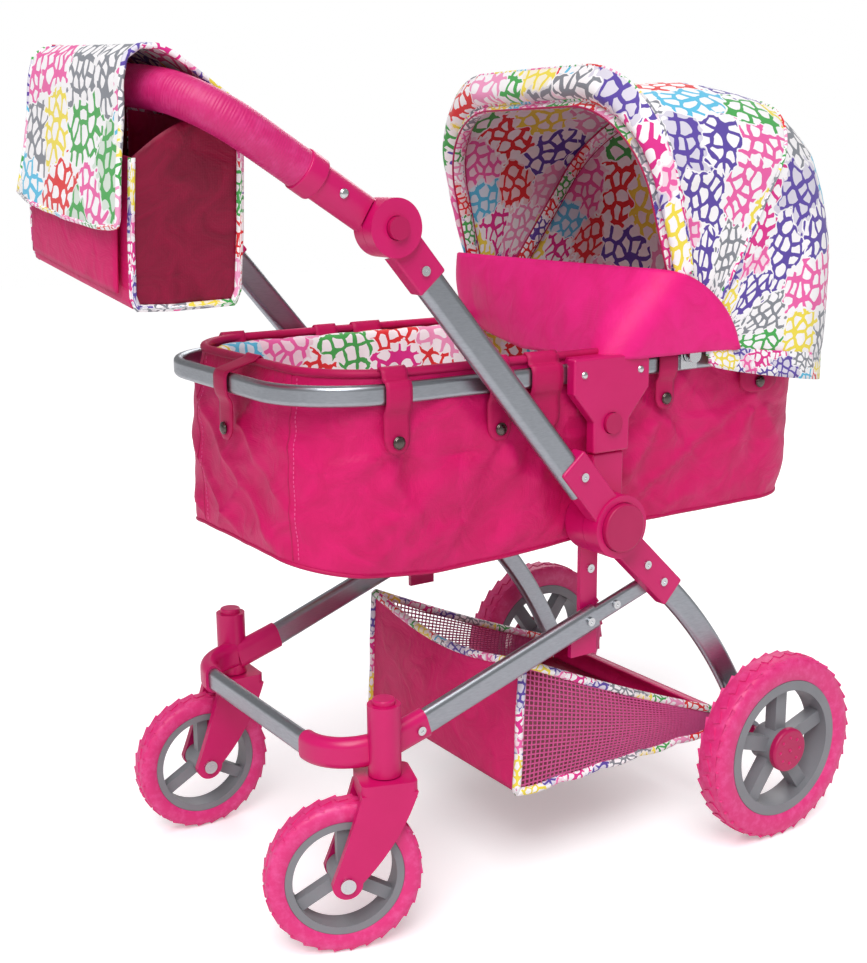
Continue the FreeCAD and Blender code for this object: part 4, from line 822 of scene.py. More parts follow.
rimCorner = 77 * mm
tub = {
    "gap": 9 * mm, "taper": 15 * mm, "floor": 300 * mm, "edgeRise": 7 * mm, "edgeRadius": 3.6 * mm,
    "sag": 10 * mm, "sagCentre": -90 * mm, "sagReach": 170 * mm, "footGap": 19 * mm, "footRise": 9 * mm,
    "endSpread": 12 * mm, "belly": 4.5 * mm, "folds": 4.2 * mm, "crumples": 1.3 * mm, "pleats": 3.6 * mm,
    "pleatReach": 55 * mm, "loopLength": 1.5, "cornerShare": 0.052, "cornerLean": 0.012,
    "floorPiping": 1.8 * mm, "cornerPiping": 1.1 * mm, "quilt": 42 * mm,
    "liningTop": 3 * mm, "liningGap": 4.5 * mm, "rollRadius": 5.5 * mm, "rollShare": 0.14,
}


def tubShift(place, v):
    # The tub stops short of the rim at the foot, and its ends lean out towards the floor
    length = rimHigh.x - rimLow.x
    share = (rimHigh.x - place.x) / length
    middleX = (rimLow.x + rimHigh.x) / 2
    spread = (place.x - middleX) / (length / 2) * tub["endSpread"] * v
    return Vector((share * tub["footGap"] * (1 - v) + spread, 0, 0))


def footRise(place, v):
    # The floor turns up over the last stretch before the foot
    far = max(0.0, (rimLow.x + 130 * mm - place.x) / (110 * mm))
    return tub["footRise"] * far * v


def loopPoint(t, inset):
    # Point on the rim's rounded loop, moved inwards; t runs 0 to 1 from the middle of the head end, past
    # the left side and the foot. Also gives the outward direction
    x0, x1 = rimLow.x + inset, rimHigh.x - inset
    y = rimHigh.y - inset
    r = rimCorner - inset
    straightX, straightY, arc = (x1 - x0) - 2 * r, 2 * y - 2 * r, math.pi * r / 2
    total = 2 * straightX + 2 * straightY + 4 * arc
    s = (t % 1.0) * total
    spans = [("line", (x1, 0), (0, 1), straightY / 2), ("arc", (x1 - r, y - r), 0, arc),
             ("line", (x1 - r, y), (-1, 0), straightX), ("arc", (x0 + r, y - r), 1, arc),
             ("line", (x0, y - r), (0, -1), straightY), ("arc", (x0 + r, -y + r), 2, arc),
             ("line", (x0 + r, -y), (1, 0), straightX), ("arc", (x1 - r, -y + r), 3, arc),
             ("line", (x1, -y + r), (0, 1), straightY / 2)]
    for kind, start, way, length in spans:
        if s <= length or kind == "line" and start == (x1, -y + r):
            break
        s -= length
    if kind == "line":
        outward = Vector((way[1], -way[0], 0))
        return Vector((start[0] + way[0] * s, start[1] + way[1] * s, 0)), outward
    a = way * math.pi / 2 + s / r
    outward = Vector((math.cos(a), math.sin(a), 0))
    return Vector((start[0], start[1], 0)) + outward * r, outward


def loopShare(x, side):
    # The t of the point on a long side at a given x
    steps = 2000
    tried = [(i / steps, *loopPoint(i / steps, 0)) for i in range(steps)]
    return min((abs(place.x - x), t) for t, place, outward in tried if outward.y * side > 0.999)[1]


# Each strap that holds the tub: where it lies along the object, its width and its drop
strapPlaces = {"foot": (-149 * mm, 22 * mm, 37 * mm), "arm": (-57 * mm, 22 * mm, 37 * mm),
               "bracket": (-13 * mm, 30 * mm, 34 * mm), "hood": (113 * mm, 20 * mm, 30 * mm),
               "head": (222 * mm, 44 * mm, 26 * mm)}
pleatPlaces = [(place[0], side) for place in strapPlaces.values() for side in (-1, 1)]


def tubPoint(u, v):
    # v is 0 at the top edge and 1 at the floor
    inset = tub["gap"] + tub["taper"] * v
    place, outward = loopPoint(u, inset)
    top = rimHigh.z + tub["edgeRise"]
    along = u * tub["loopLength"]
    belly = math.sin(math.pi * v) * tub["belly"]
    corner = abs(outward.x * outward.y) * 2
    # Slanting folds, small crumples, and two sets of sharp ridges
    folds = wave(along, v * 0.16 + along * 0.35, 0.055, 1) * tub["folds"]
    folds += wave(along, v * 0.3, 0.024, 2) * tub["crumples"]
    ridge = (1 - abs(wave(along * 0.8 + v * 0.13, v * 0.05, 0.05, 3))) ** 7 * 4.4 * mm
    ridge += (1 - abs(wave(along * 0.9 - v * 0.17, v * 0.04, 0.07, 4))) ** 9 * 3.6 * mm
    fade = min(1.0, v * 5) * min(1.0, (1 - v) * 9 + 0.15)
    sagAt = max(0.0, 1 - ((place.x - tub["sagCentre"]) / tub["sagReach"]) ** 2) * abs(outward.y)
    z = top + (tub["floor"] - top) * v - sagAt * tub["sag"] * v ** 3 + footRise(place, v)
    # Pleats fan out below each strap
    pleats = 0.0
    for x, side in pleatPlaces:
        if outward.y * side > 0.7:
            dx, dz = place.x - x, rimLow.z - 40 * mm - z
            reach = math.hypot(dx, dz)
            if dz > 0:
                fan = math.cos(math.atan2(dx, dz + 12 * mm) * 6.0 + x * 40)
                pleats += fan * math.exp(-reach / tub["pleatReach"])
    out = belly + (folds + ridge * (1 - corner)) * fade + pleats * tub["pleats"] * min(1.0, (1 - v) * 6)
    return place + tubShift(place, v) + outward * out + Vector((0, 0, z))


def makeTub():
    wall, size = clothGrid("tub_wall", 44, 300, tubPoint, "pinkNylon", 1.4 * mm, closed=True)
    cloth(wall, "bassinet")
    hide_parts("bassinet_tub")
    # Rolled top edge
    steps = 220
    edge = [tubPoint(i / steps, 0.0) + Vector((0, 0, -1 * mm)) for i in range(steps)]
    trim("tub_edge", edge, tub["edgeRadius"], "pinkWebbing", "bassinet", 12, closed=True)

    # Floor panel over a stiff board, piped where it meets the wall
    def floorPoint(u, v):
        edgePoint = tubPoint(u, 1.0)
        centre = Vector(((rimLow.x + rimHigh.x) / 2, 0, tub["floor"]))
        p = centre.lerp(edgePoint, max(v, 0.02))
        p.z = edgePoint.z * v + (1 - v) * (tub["floor"] - 1 * mm)
        return p

    # The floor is the darker pink that stands for the shade inside the tub: painted shade
    floor = clothGrid("tub_floor", 24, 120, floorPoint, "shadedPinkNylon", 1.6 * mm, closed=True)[0]
    cloth(floor, "bassinet")
    foot = [tubPoint(i / steps, 1.0) for i in range(steps)]
    trim("tub_floor_piping", foot, tub["floorPiping"], "pinkWebbing", "bassinet", closed=True)
    # Sewn corners of the wall, each with a row of stitches beside it
    turn, lean = tub["cornerShare"], tub["cornerLean"]
    corners = [0.5 - turn, 0.5 + turn, turn, 1 - turn]
    for i, u in enumerate(corners):
        seam = [tubPoint(u + lean * v, v) for v in np.linspace(0.03, 0.98, 40)]
        trim("tub_corner_seam_" + str(i + 1), seam, tub["cornerPiping"], "pinkWebbing", "bassinet",
             6)
    besides = [[tubPoint(u + 0.004 + lean * v, v) + loopPoint(u, 0)[1] * 0.9 * mm
                for v in np.linspace(0.05, 0.96, 60)] for u in corners]
    stitches("tub_corner_stitches", besides, "bassinet", 0.4 * mm)

    def liningPoint(u, v):
        # Printed quilted lining: a stuffed roll lies just inside the edge, and the rest hangs from it
        roll, fall = tub["rollRadius"], max(0.0, (v - tub["rollShare"]) / (1 - tub["rollShare"]))
        inset = tub["gap"] + tub["liningGap"] + tub["taper"] * fall
        place, outward = loopPoint(u, inset)
        sewn = abs(math.sin(math.pi * u * tub["loopLength"] / tub["quilt"])) ** 0.5
        puff = sewn * math.sin(math.pi * min(fall * 1.02, 1)) ** 0.4
        top = rimHigh.z - tub["liningTop"]
        if v < tub["rollShare"]:
            a = math.pi * v / tub["rollShare"]
            swell = roll * (0.85 + 0.25 * sewn)
            aside, z = -(roll - swell * math.cos(a)), top + swell * math.sin(a)
        else:
            aside = -2 * roll - (1.5 + 5 * puff) * mm * fall ** 0.3
            z = top + (tub["floor"] + 6 * mm - top) * fall
        return place + tubShift(place, fall) + outward * aside + Vector((0, 0, z + footRise(place, fall)))

    lining, size = clothGrid("tub_lining", 36, 360, liningPoint, "print", 1.6 * mm, closed=True)
    cloth(lining, "bassinet")


makeTub()
print("tub made")

# Straps over the rim, with snaps

strap = {
    "width": 22 * mm, "drop": 37 * mm, "thickness": 1.3 * mm, "snapRadius": 5.0 * mm, "snapUp": 9 * mm,
    "footShare": 0.008,
}


def strapPiece(name, share, width, drop, gap=0.0):
    # A webbing loop: inside the edge, over the rim, down the outside of the wall.
    # The path gives how far out from the rim's outer face each point lies, and its height
    place, outward = loopPoint(share, 0)
    sideways = Vector((-outward.y, outward.x, 0))
    rimTop, rimBottom = rimHigh.z, rimLow.z
    path = [
        (-13.5 * mm - gap, rimTop + 1 * mm), (-12.6 * mm - gap, rimTop + 7 * mm),
        (-9.0 * mm - gap, rimTop + 11.4 * mm), (-5 * mm - gap, rimTop + 8 * mm), (-4 * mm, rimTop + 2.2 * mm),
        (0.2 * mm, rimTop + 0.6 * mm), (1.7 * mm, rimTop - 3 * mm), (1.8 * mm, rimBottom + 3 * mm),
        (0.6 * mm, rimBottom - 2 * mm), (-2.5 * mm, rimBottom - 7 * mm), (-2.2 * mm, rimBottom - drop * 0.7),
        (-1.5 * mm, rimBottom - drop)]

    def at(u, v):
        k = v * (len(path) - 1)
        i = min(int(k), len(path) - 2)
        f = k - i
        out = path[i][0] * (1 - f) + path[i + 1][0] * f
        z = path[i][1] * (1 - f) + path[i + 1][1] * f
        end = max(0.0, (v - 0.9) / 0.1)
        half = width / 2 * math.sqrt(max(0.0, 1 - 0.85 * end * end))
        crown = math.cos((u - 0.5) * math.pi) * 0.7 * mm
        return place + sideways * (u - 0.5) * 2 * half + outward * (out + crown) + Vector((0, 0, z))

    piece, size = clothGrid(name, 40, 6, at, "pinkWebbing", strap["thickness"])
    snap = place + outward * 0.6 * mm + Vector((0, 0, rimBottom - drop + strap["snapUp"]))
    return piece, size, snap, outward


def makeStraps():
    snapPlaces, snapFacings = [], []
    straps = {"foot_end": (0.5 + strap["footShare"], strap["width"], strap["drop"])}
    for sideName, side in sides.items():
        for label, (x, wide, drop) in strapPlaces.items():
            straps[label + "_" + sideName] = (loopShare(x, side), wide, drop)
    for label, (share, wide, drop) in straps.items():
        gap = tub["footGap"] if label == "foot_end" else 0.0
        piece, size, snap, outward = strapPiece("strap_" + label, share, wide, drop, gap)
        cloth(piece, "bassinet")
        if "bracket" not in label:
            snapPlaces.append(snap)
            snapFacings.append(outward)
    studs("strap_snaps", snapPlaces, snapFacings, strap["snapRadius"], 1.2 * mm, 0.32, "nickel", "bassinet")
    centres = [p + f * 0.7 * mm for p, f in zip(snapPlaces, snapFacings)]
    studs("strap_snap_centres", centres, snapFacings, strap["snapRadius"] * 0.45, 1.6 * mm, 0.3, "zinc",
          "bassinet")


makeStraps()
print("straps made")

# Mattress

pad = {
    "voxel": 5 * mm, "pressure": 4.0, "steps": 20, "cap": 8 * mm, "inset": 2 * mm, "corner": 45 * mm,
    "tuftPitch": 80 * mm, "tuftDepth": 3 * mm, "tuftWidth": 4 * mm, "fill": 0.6,
}


def makeMattress():
    # Padded floor: a remeshed slab that cloth pressure crowns between its edges
    low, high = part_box("mattress")
    inset, r = pad["inset"], pad["corner"]
    x0, x1, y1 = low.x + inset, high.x - inset, high.y - inset
    outline = []
    centres = [(x1 - r, y1 - r), (x0 + r, y1 - r), (x0 + r, -y1 + r), (x1 - r, -y1 + r)]
    for quarter, (cx, cy) in enumerate(centres):
        for k in range(10):
            a = math.radians(90 * quarter + 90 * k / 9)
            outline.append((cx + r * math.cos(a), cy + r * math.sin(a)))
    count = len(outline)
    points = [(x, y, low.z + 2 * mm) for x, y in outline] + [(x, y, high.z - 3 * mm) for x, y in outline]
    faces = [tuple(reversed(range(count))), tuple(range(count, 2 * count))]
    faces += [(i, (i + 1) % count, count + (i + 1) % count, count + i) for i in range(count)]
    piece = makePiece("mattress_pad", points, faces, "print")
    remesh = piece.modifiers.new("even", "REMESH")
    remesh.mode = "VOXEL"
    remesh.voxel_size = pad["voxel"]
    settle(piece)
    before = np.array([v.co for v in piece.data.vertices])
    swell = piece.modifiers.new("swell", "CLOTH")
    swell.settings.use_pressure = True
    swell.settings.uniform_pressure_force = pad["pressure"]
    swell.settings.effector_weights.gravity = 0
    swell.settings.quality = 5
    for f in range(1, pad["steps"] + 1):
        scene.frame_set(f)
    settle(piece)
    scene.frame_set(1)
    # The swell is held to a cap, and nothing drops through the floor
    move = np.array([v.co for v in piece.data.vertices]) - before
    reach = np.linalg.norm(move, axis=1, keepdims=True)
    after = before + move * np.minimum(1, pad["cap"] / np.maximum(reach, 1e-9))
    after[:, 2] = np.maximum(after[:, 2], low.z + 0.5 * mm)
    piece.data.vertices.foreach_set("co", after.ravel())
    # Tufted rows across the pad
    for v in piece.data.vertices:
        if v.co.z > (low.z + high.z) / 2:
            away = (v.co.x + 12 * mm) % pad["tuftPitch"] - pad["tuftPitch"] / 2
            v.co.z -= pad["tuftDepth"] * math.exp(-away ** 2 / (2 * pad["tuftWidth"] ** 2))
    pointVectors(piece, "flat", [(v.co.x, v.co.y + v.co.z, 0) for v in piece.data.vertices])
    rounder = piece.modifiers.new("rounder", "SUBSURF")
    rounder.levels = 1
    rounder.render_levels = 1
    settle(piece)
    piece.data.polygons.foreach_set("use_smooth", [True] * len(piece.data.polygons))
    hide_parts("mattress")
    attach(piece, "bassinet")


makeMattress()
print("mattress made")

# Hood

# Angles are in degrees back from upright about the bows' pivots
hood = {
    "halfWidth": 151.2 * mm, "leanSlope": 0.06, "corner": 82 * mm, "root": 12 * mm,
    "frontAngle": -15.0, "middleAngle": 34.0, "stillAngle": 80.0, "hemAngle": 97.0, "cloth": 1.2 * mm,
    "slack": 2.0 * mm, "brim": 25 * mm, "brimSide": 0.6, "brimPuff": 10 * mm, "brimTuck": 7 * mm,
    "brimSeam": 1.3 * mm, "openingWelt": 2.4 * mm, "middleWelt": 1.5 * mm, "sleeveHalfWidth": 7.2 * mm,
    "sleeveHalfDepth": 2.6 * mm, "sleeveEdge": 0.9 * mm, "hemCloth": 3.0 * mm,
}
# How far the cloth stands from the pivots at each angle, in mm, and how much its sides lean in
hoodReach = {-15.0: 215.0, 0.0: 221.0, 17.0: 231.0, 34.0: 250.5, 46.0: 255.5, 60.0: 235.0, 76.0: 214.0,
             97.0: 201.0}
hoodLean = {-15.0: 1.0, 46.0: 1.0, 76.0: 0.0, 97.0: 0.0}


def hoodPoint(angle, share, grow=0.0, sideGrow=None, sag=0.0):
    # Point on the hood in the plane at an angle; share runs 0 to 1 from the right foot over the top to
    # the left foot
    reach = np.interp(angle, list(hoodReach), list(hoodReach.values())) * mm + grow - sag
    slope = hood["leanSlope"] * np.interp(angle, list(hoodLean), list(hoodLean.values()))
    half = hood["halfWidth"] + (grow if sideGrow is None else sideGrow)
    corner = hood["corner"] + grow * 0.3
    legTop = reach - corner
    topY = half - slope * legTop
    leg, arc, flatTop = legTop - hood["root"], math.pi * corner / 2, topY - corner
    s = share * 2 * (leg + arc + flatTop)
    mirror = -1
    if s > leg + arc + flatTop:
        s = 2 * (leg + arc + flatTop) - s
        mirror = 1
    if s <= leg:
        r = hood["root"] + s
        y = half - slope * r - sag * 0.5
    elif s <= leg + arc:
        a = (s - leg) / corner
        r = legTop + corner * math.sin(a)
        y = topY - corner + corner * math.cos(a)
    else:
        r = reach
        y = topY - corner - (s - leg - arc)
    turn = math.radians(angle)
    return Vector((hoodPivot.x + r * math.sin(turn), mirror * y, hoodPivot.z + r * math.cos(turn)))


def makeHood():
    frontAngle, middleAngle, hemAngle = hood["frontAngle"], hood["middleAngle"], hood["hemAngle"]

    def ahead(angle):
        # Square to the plane at an angle, towards the hood's opening
        turn = math.radians(angle)
        return Vector((-math.cos(turn), 0, math.sin(turn)))

    def panel(first, last, seed):
        def at(u, v):
            slack = math.sin(math.pi * v) * hood["slack"]
            ripple = wave(u * 0.7, v * 0.2, 0.06, seed) * 2.4 + wave(u * 0.7, v * 0.2, 0.022, seed + 5) * 0.7
            sag = slack + ripple * mm * math.sin(math.pi * v) ** 0.5
            return hoodPoint(first + (last - first) * v, u, sag=sag)
        return at

    front, size = clothGrid("canopy_front_cloth", 46, 190, panel(frontAngle, middleAngle, 11), "print",
                            hood["cloth"])
    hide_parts("canopy_front")
    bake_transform(front)
    rear, size = clothGrid("canopy_rear_cloth", 56, 190, panel(middleAngle, hemAngle, 12), "print",
                           hood["cloth"])
    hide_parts("canopy_rear")
    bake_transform(rear)

    # Turned-back brim: a soft roll in front of the front bow
    def brimPoint(u, v):
        top = math.sin(math.pi * u) ** 0.5
        spread = hood["brim"] * (hood["brimSide"] + (1 - hood["brimSide"]) * top)
        grow = spread * v
        share = 0.085 + 0.83 * u
        p = hoodPoint(frontAngle, share, grow=grow, sideGrow=grow * (0.55 + 0.2 * top))
        puff = math.sin(math.pi * v ** 0.8) * hood["brimPuff"] * (0.4 + 0.6 * top)
        scallop = wave(u * 0.7, v * 0.1, 0.03, 21) * 1.6 * mm * math.sin(math.pi * v)
        return p + ahead(frontAngle) * (puff + scallop - hood["brimTuck"] * v * v)

    brim, size = clothGrid("hood_brim", 14, 180, brimPoint, "print", 1.6 * mm)
    cloth(brim, "hood_front")
    seam = [brimPoint(i / 120, 1.0) for i in range(121)]
    trim("hood_brim_seam", seam, hood["brimSeam"], "smallPrint", "hood_front")
    opening = [hoodPoint(frontAngle, 0.02 + 0.96 * i / 120) for i in range(121)]
    trim("hood_opening_welt", opening, hood["openingWelt"], "smallPrint", "hood_front")

    # Cloth sleeves that hold the two bows on the inside
    def sleeve(name, angle, drop, body):
        def at(u, v):
            a = 2 * math.pi * v
            p = hoodPoint(angle, 0.03 + 0.94 * u, grow=hood["sleeveHalfDepth"] * math.cos(a) - drop)
            return p + ahead(angle) * math.sin(a) * hood["sleeveHalfWidth"]

        piece, size = clothGrid(name, 12, 130, at, "smallPrint", 0)
        cloth(piece, body)
        for i, v in enumerate((0.27, 0.73)):
            path = [at(k / 130, v) for k in range(131)]
            trim(name + "_edge_" + str(i + 1), path, hood["sleeveEdge"], "deepPinkAbs", body, 6)

    sleeve("hood_middle_sleeve", middleAngle, 4.6 * mm, "hood_mid")
    sleeve("hood_front_sleeve", frontAngle, 4.4 * mm, "hood_front")
    # Welt over the middle bow outside
    ridge = [hoodPoint(middleAngle, 0.02 + 0.96 * i / 120, grow=0.6 * mm) for i in range(121)]
    trim("hood_middle_welt", ridge, hood["middleWelt"], "smallPrint", "hood_mid")

    # Bound hem at the foot of the hood
    def hemPoint(u, v):
        p = hoodPoint(hemAngle, 0.005 + 0.99 * u, grow=0.8 * mm)
        droop = 12 * mm * math.sin(math.pi * u) ** 0.4
        return p + Vector((0, 0, 8 * mm - (14 * mm + droop) * v))

    hem, size = clothGrid("hood_hem", 4, 180, hemPoint, "smallPrint", hood["hemCloth"])
    cloth(hem, "bassinet")


makeHood()
print("hood made")

# Apron

apron = {
    "footX": 186 * mm, "topX": 131 * mm, "wingX": 46 * mm, "low": 446 * mm, "high": 514 * mm,
    "half": 154.2 * mm, "corner": 30 * mm, "cloth": 2.2 * mm, "belly": 6 * mm, "skew": 66 * mm, "dip": 8 * mm,
    "hem": 1.7 * mm, "stitchLine": 0.86,
}


def makeApron():
    half, r = apron["half"], apron["corner"]

    def edgeHeight(s):
        # Height of the top edge by how far a point lies behind the front panel, 0 to 1
        return apron["low"] + (apron["high"] - apron["low"]) * max(0.0, 1 - s ** 1.7) ** 0.6

    def at(u, v):
        # Pulled askew: its foot comes further forward on the right side
        foot = apron["footX"] - apron["skew"] * min(1.0, max(0.0, (u - 0.25) / 0.5))
        frontX = axle.x - (foot + (apron["topX"] - foot) * v)
        wingEnd = axle.x - apron["wingX"]
        leg, arc, width = wingEnd - frontX - r, math.pi * r / 2, 2 * (half - r)
        s = u * (2 * leg + 2 * arc + width)
        mirror = -1
        if s > leg + arc + width / 2:
            s = 2 * leg + 2 * arc + width - s
            mirror = 1
        if s < leg:
            x, y, out = wingEnd - s, half, Vector((0, 1, 0))
        elif s < leg + arc:
            a = (s - leg) / r
            x, y = frontX + r - r * math.sin(a), half - r + r * math.cos(a)
            out = Vector((-math.sin(a), math.cos(a), 0))
        else:
            x, y, out = frontX, half - r - (s - leg - arc), Vector((-1, 0, 0))
        back = min(1.0, max(0.0, (x - (axle.x - apron["topX"])) / (apron["topX"] - apron["wingX"])))
        top = edgeHeight(back)
        z = apron["low"] + (top - apron["low"]) * v
        dip = apron["dip"] * (1 - v) * (1 - abs(y) / half) if out.x < -0.9 else 0.0
        swell = math.sin(math.pi * v) * apron["belly"] * (0.5 + 0.5 * abs(out.x))
        ripple = wave(u * 0.8, v * 0.08, 0.05, 31) * 2.2 * mm * math.sin(math.pi * v)
        place = Vector((x, y, z - dip)) + out * (swell + ripple - 1.5 * mm * (1 - v) * out.y)
        return Vector((place.x, mirror * place.y, place.z))

    panel, size = clothGrid("apron_panel", 22, 200, at, "pinkApron", apron["cloth"], offset=-1.0)
    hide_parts("apron")
    cloth(panel, "bassinet")
    path = [at(i / 200, 0.985) + Vector((0, 0, 0.6 * mm)) for i in range(4, 197)]
    trim("apron_hem", path, apron["hem"], "pinkApron", "bassinet")
    seam = [at(i / 200, apron["stitchLine"]) for i in range(6, 195)]
    stitches("apron_stitches", [seam], "bassinet", 0.45 * mm)


makeApron()
print("apron made")

# Bag on the handle

bag = {
    "tilt": 7.0, "flapTilt": 3.5, "front": 559 * mm, "depth": 76 * mm, "width": 196 * mm, "centreY": -25 * mm,
    "bottom": 507 * mm, "height": 128 * mm, "mouthDrop": 30 * mm, "mouthRise": 24 * mm, "swell": 5 * mm,
    "binding": 2.6 * mm, "flapBinding": 2.0 * mm, "flapOver": 4.5 * mm, "flapSlip": 24 * mm,
    "pocketHeight": 62 * mm, "pocketInset": 12 * mm, "pocketSwell": 7 * mm,
}


def bagPoint(x, y, z):
    # Tips a point of the bag about its lower right edge, as it hangs askew on the handle
    pivotY, pivotZ = bag["centreY"] - bag["width"] / 2, bag["bottom"] + bag["height"]
    a = math.radians(bag["tilt"])
    dy, dz = y - pivotY, z - pivotZ
    return Vector((x, pivotY + dy * math.cos(a) - dz * math.sin(a),
                   pivotZ + dy * math.sin(a) + dz * math.cos(a)))


def makeBag():
    x0 = axle.x - bag["front"]
    x1 = x0 + bag["depth"]
    y0, y1 = bag["centreY"] - bag["width"] / 2, bag["centreY"] + bag["width"] / 2
    low, high = bag["bottom"], bag["bottom"] + bag["height"]

    def mouth(x):
        # The mouth slopes up from the pusher's side of the bag
        return high - bag["mouthDrop"] + bag["mouthRise"] * (x - x0) / (x1 - x0)

    def shellPoint(u, v):
        # Front, floor and back in one strip
        lengths = [mouth(x0) - low, x1 - x0, mouth(x1) - low]
        s = v * sum(lengths)
        swell = math.sin(math.pi * u) * bag["swell"]
        ripple = wave(u * 0.2, v * 0.3, 0.05, 41) * 2 * mm * math.sin(math.pi * u)
        if s < lengths[0]:
            x, z = x0 - (swell + ripple) * math.sin(math.pi * min(1, s / lengths[0])), mouth(x0) - s
        elif s < lengths[0] + lengths[1]:
            f = (s - lengths[0]) / lengths[1]
            x, z = x0 + (x1 - x0) * f, low - (swell * 0.6 + ripple) * math.sin(math.pi * f)
        else:
            f = (s - lengths[0] - lengths[1]) / lengths[2]
            x, z = x1 + (swell + ripple) * math.sin(math.pi * f), low + (mouth(x1) - low) * f
        return bagPoint(x, y0 + (y1 - y0) * u, z)

    shell, size = clothGrid("bag_shell", 72, 40, shellPoint, "pinkNylon", 1.4 * mm)
    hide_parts("bag_body")
    cloth(shell, "handle")
    for sideName, side in sides.items():
        y = y1 if side > 0 else y0

        def endPoint(u, v):
            x = x0 + (x1 - x0) * u
            top = mouth(x) + (12 * mm * math.sin(math.pi * u) if side < 0 else 0)
            z = low + (top - low) * v
            dent = math.sin(math.pi * u) * math.sin(math.pi * min(1, v * 1.1)) * -3.5 * mm
            ripple = wave(u * 0.08, v * 0.13, 0.035, 43) * 2.2 * mm * math.sin(math.pi * u)
            return bagPoint(x, y + side * (dent + ripple), z)

        # The ends are the darker pink that stands for the shade on them: painted shade
        end, size = clothGrid("bag_end_" + sideName, 24, 16, endPoint, "shadedPinkNylon", 1.2 * mm)
        cloth(end, "handle")
        corner = [(x0, mouth(x0)), (x0 - 1 * mm, low + 50 * mm), (x0, low + 8 * mm), (x0 + 3 * mm, low),
                  (x0 + 30 * mm, low - 1 * mm), (x1 - 3 * mm, low), (x1, low + 8 * mm),
                  (x1 + 1 * mm, low + 50 * mm), (x1, mouth(x1))]
        spots = np.arange((len(corner) - 1) * 8 + 1) / 8
        path = [bagPoint(np.interp(s, range(len(corner)), [c[0] for c in corner]), y + side * 1 * mm,
                         np.interp(s, range(len(corner)), [c[1] for c in corner])) for s in spots]
        trim("bag_binding_" + sideName, path, bag["binding"], "smallPrint", "handle")

    # Flap: from the back edge over the grip and down in front
    barPath = gripPath(0.1)
    top = barPath[len(barPath) // 2]
    r = grip["radius"] + bag["flapOver"]
    profile = [
        (x1 + 1 * mm, high - 6 * mm), (x1 - 4 * mm, high + 6 * mm), (top.x + r * 0.9, top.z + r * 0.75),
        (top.x + r * 0.35, top.z + r * 0.98), (top.x - r * 0.3, top.z + r * 0.98),
        (top.x - r * 0.85, top.z + r * 0.6), (top.x - r - 1 * mm, top.z - 4 * mm),
        (top.x - r - 2 * mm, top.z - 32 * mm), (x0 - 11 * mm, top.z - 62 * mm),
        (x0 - 14.5 * mm, top.z - 88 * mm), (x0 - 14.5 * mm, top.z - 99 * mm)]

    def flapPoint(u, v):
        k = v * (len(profile) - 1)
        i = min(int(k), len(profile) - 2)
        f = k - i
        f = f * f * (3 - 2 * f) * 0.35 + f * 0.65
        x = profile[i][0] * (1 - f) + profile[i + 1][0] * f
        z = profile[i][1] * (1 - f) + profile[i + 1][1] * f
        drop = max(0.0, v - 0.6) / 0.4
        ripple = wave(u * 0.22, v * 0.2, 0.04, 45) * 2.5 * mm * (0.3 + drop)
        roundEnd = 6 * mm * drop * (2 * abs(u - 0.5)) ** 4
        # The far corner has slipped in along the bar
        slip = bag["flapSlip"] * u * (1 - drop) * min(1.0, v * 3)
        y = y0 - 2 * mm + (y1 - y0 + 4 * mm) * u - slip
        a = math.radians(bag["flapTilt"]) * (1 + 0.6 * drop)
        return Vector((x - ripple, y, z + roundEnd + (y - y0) * math.tan(a)))

    flap, size = clothGrid("bag_flap_cloth", 66, 44, flapPoint, "print", 1.8 * mm)
    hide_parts("bag_flap")
    cloth(flap, "handle")
    rim = [flapPoint(0, v) for v in np.linspace(0.05, 1, 40)]
    rim += [flapPoint(u, 1) for u in np.linspace(0.03, 1, 24)]
    rim += [flapPoint(1, v) for v in np.linspace(0.98, 0.05, 40)]
    trim("bag_flap_binding", rim, bag["flapBinding"], "smallPrint", "handle")

    # Front pocket under the flap
    def pocketPoint(u, v):
        y = y0 + bag["pocketInset"] + (y1 - y0 - 2 * bag["pocketInset"]) * u
        z = low + 8 * mm + bag["pocketHeight"] * v
        full = math.sin(math.pi * u) ** 0.6 * math.sin(math.pi * min(1.0, 0.12 + v * 0.78))
        swell = bag["pocketSwell"] * full
        return bagPoint(x0 - 5.5 * mm - swell * 0.6, y, z)

    pocket, size = clothGrid("bag_pocket", 16, 30, pocketPoint, "pinkNylon", 1.4 * mm)
    cloth(pocket, "handle")


makeBag()
print("bag made")

# Basket

basket = {
    "front": 248 * mm, "rear": 22 * mm, "half": 118 * mm, "floor": 82 * mm, "frontTop": 196 * mm,
    "rearTop": 104 * mm, "binding": 3.7 * mm, "netPitch": 4.3 * mm, "netThread": 0.75 * mm,
    "netBelly": 6 * mm, "sag": 10 * mm, "lean": 6 * mm, "floorRise": 3 * mm, "scallops": 5,
    "scallop": 2.5 * mm, "cloth": 1.3 * mm,
}


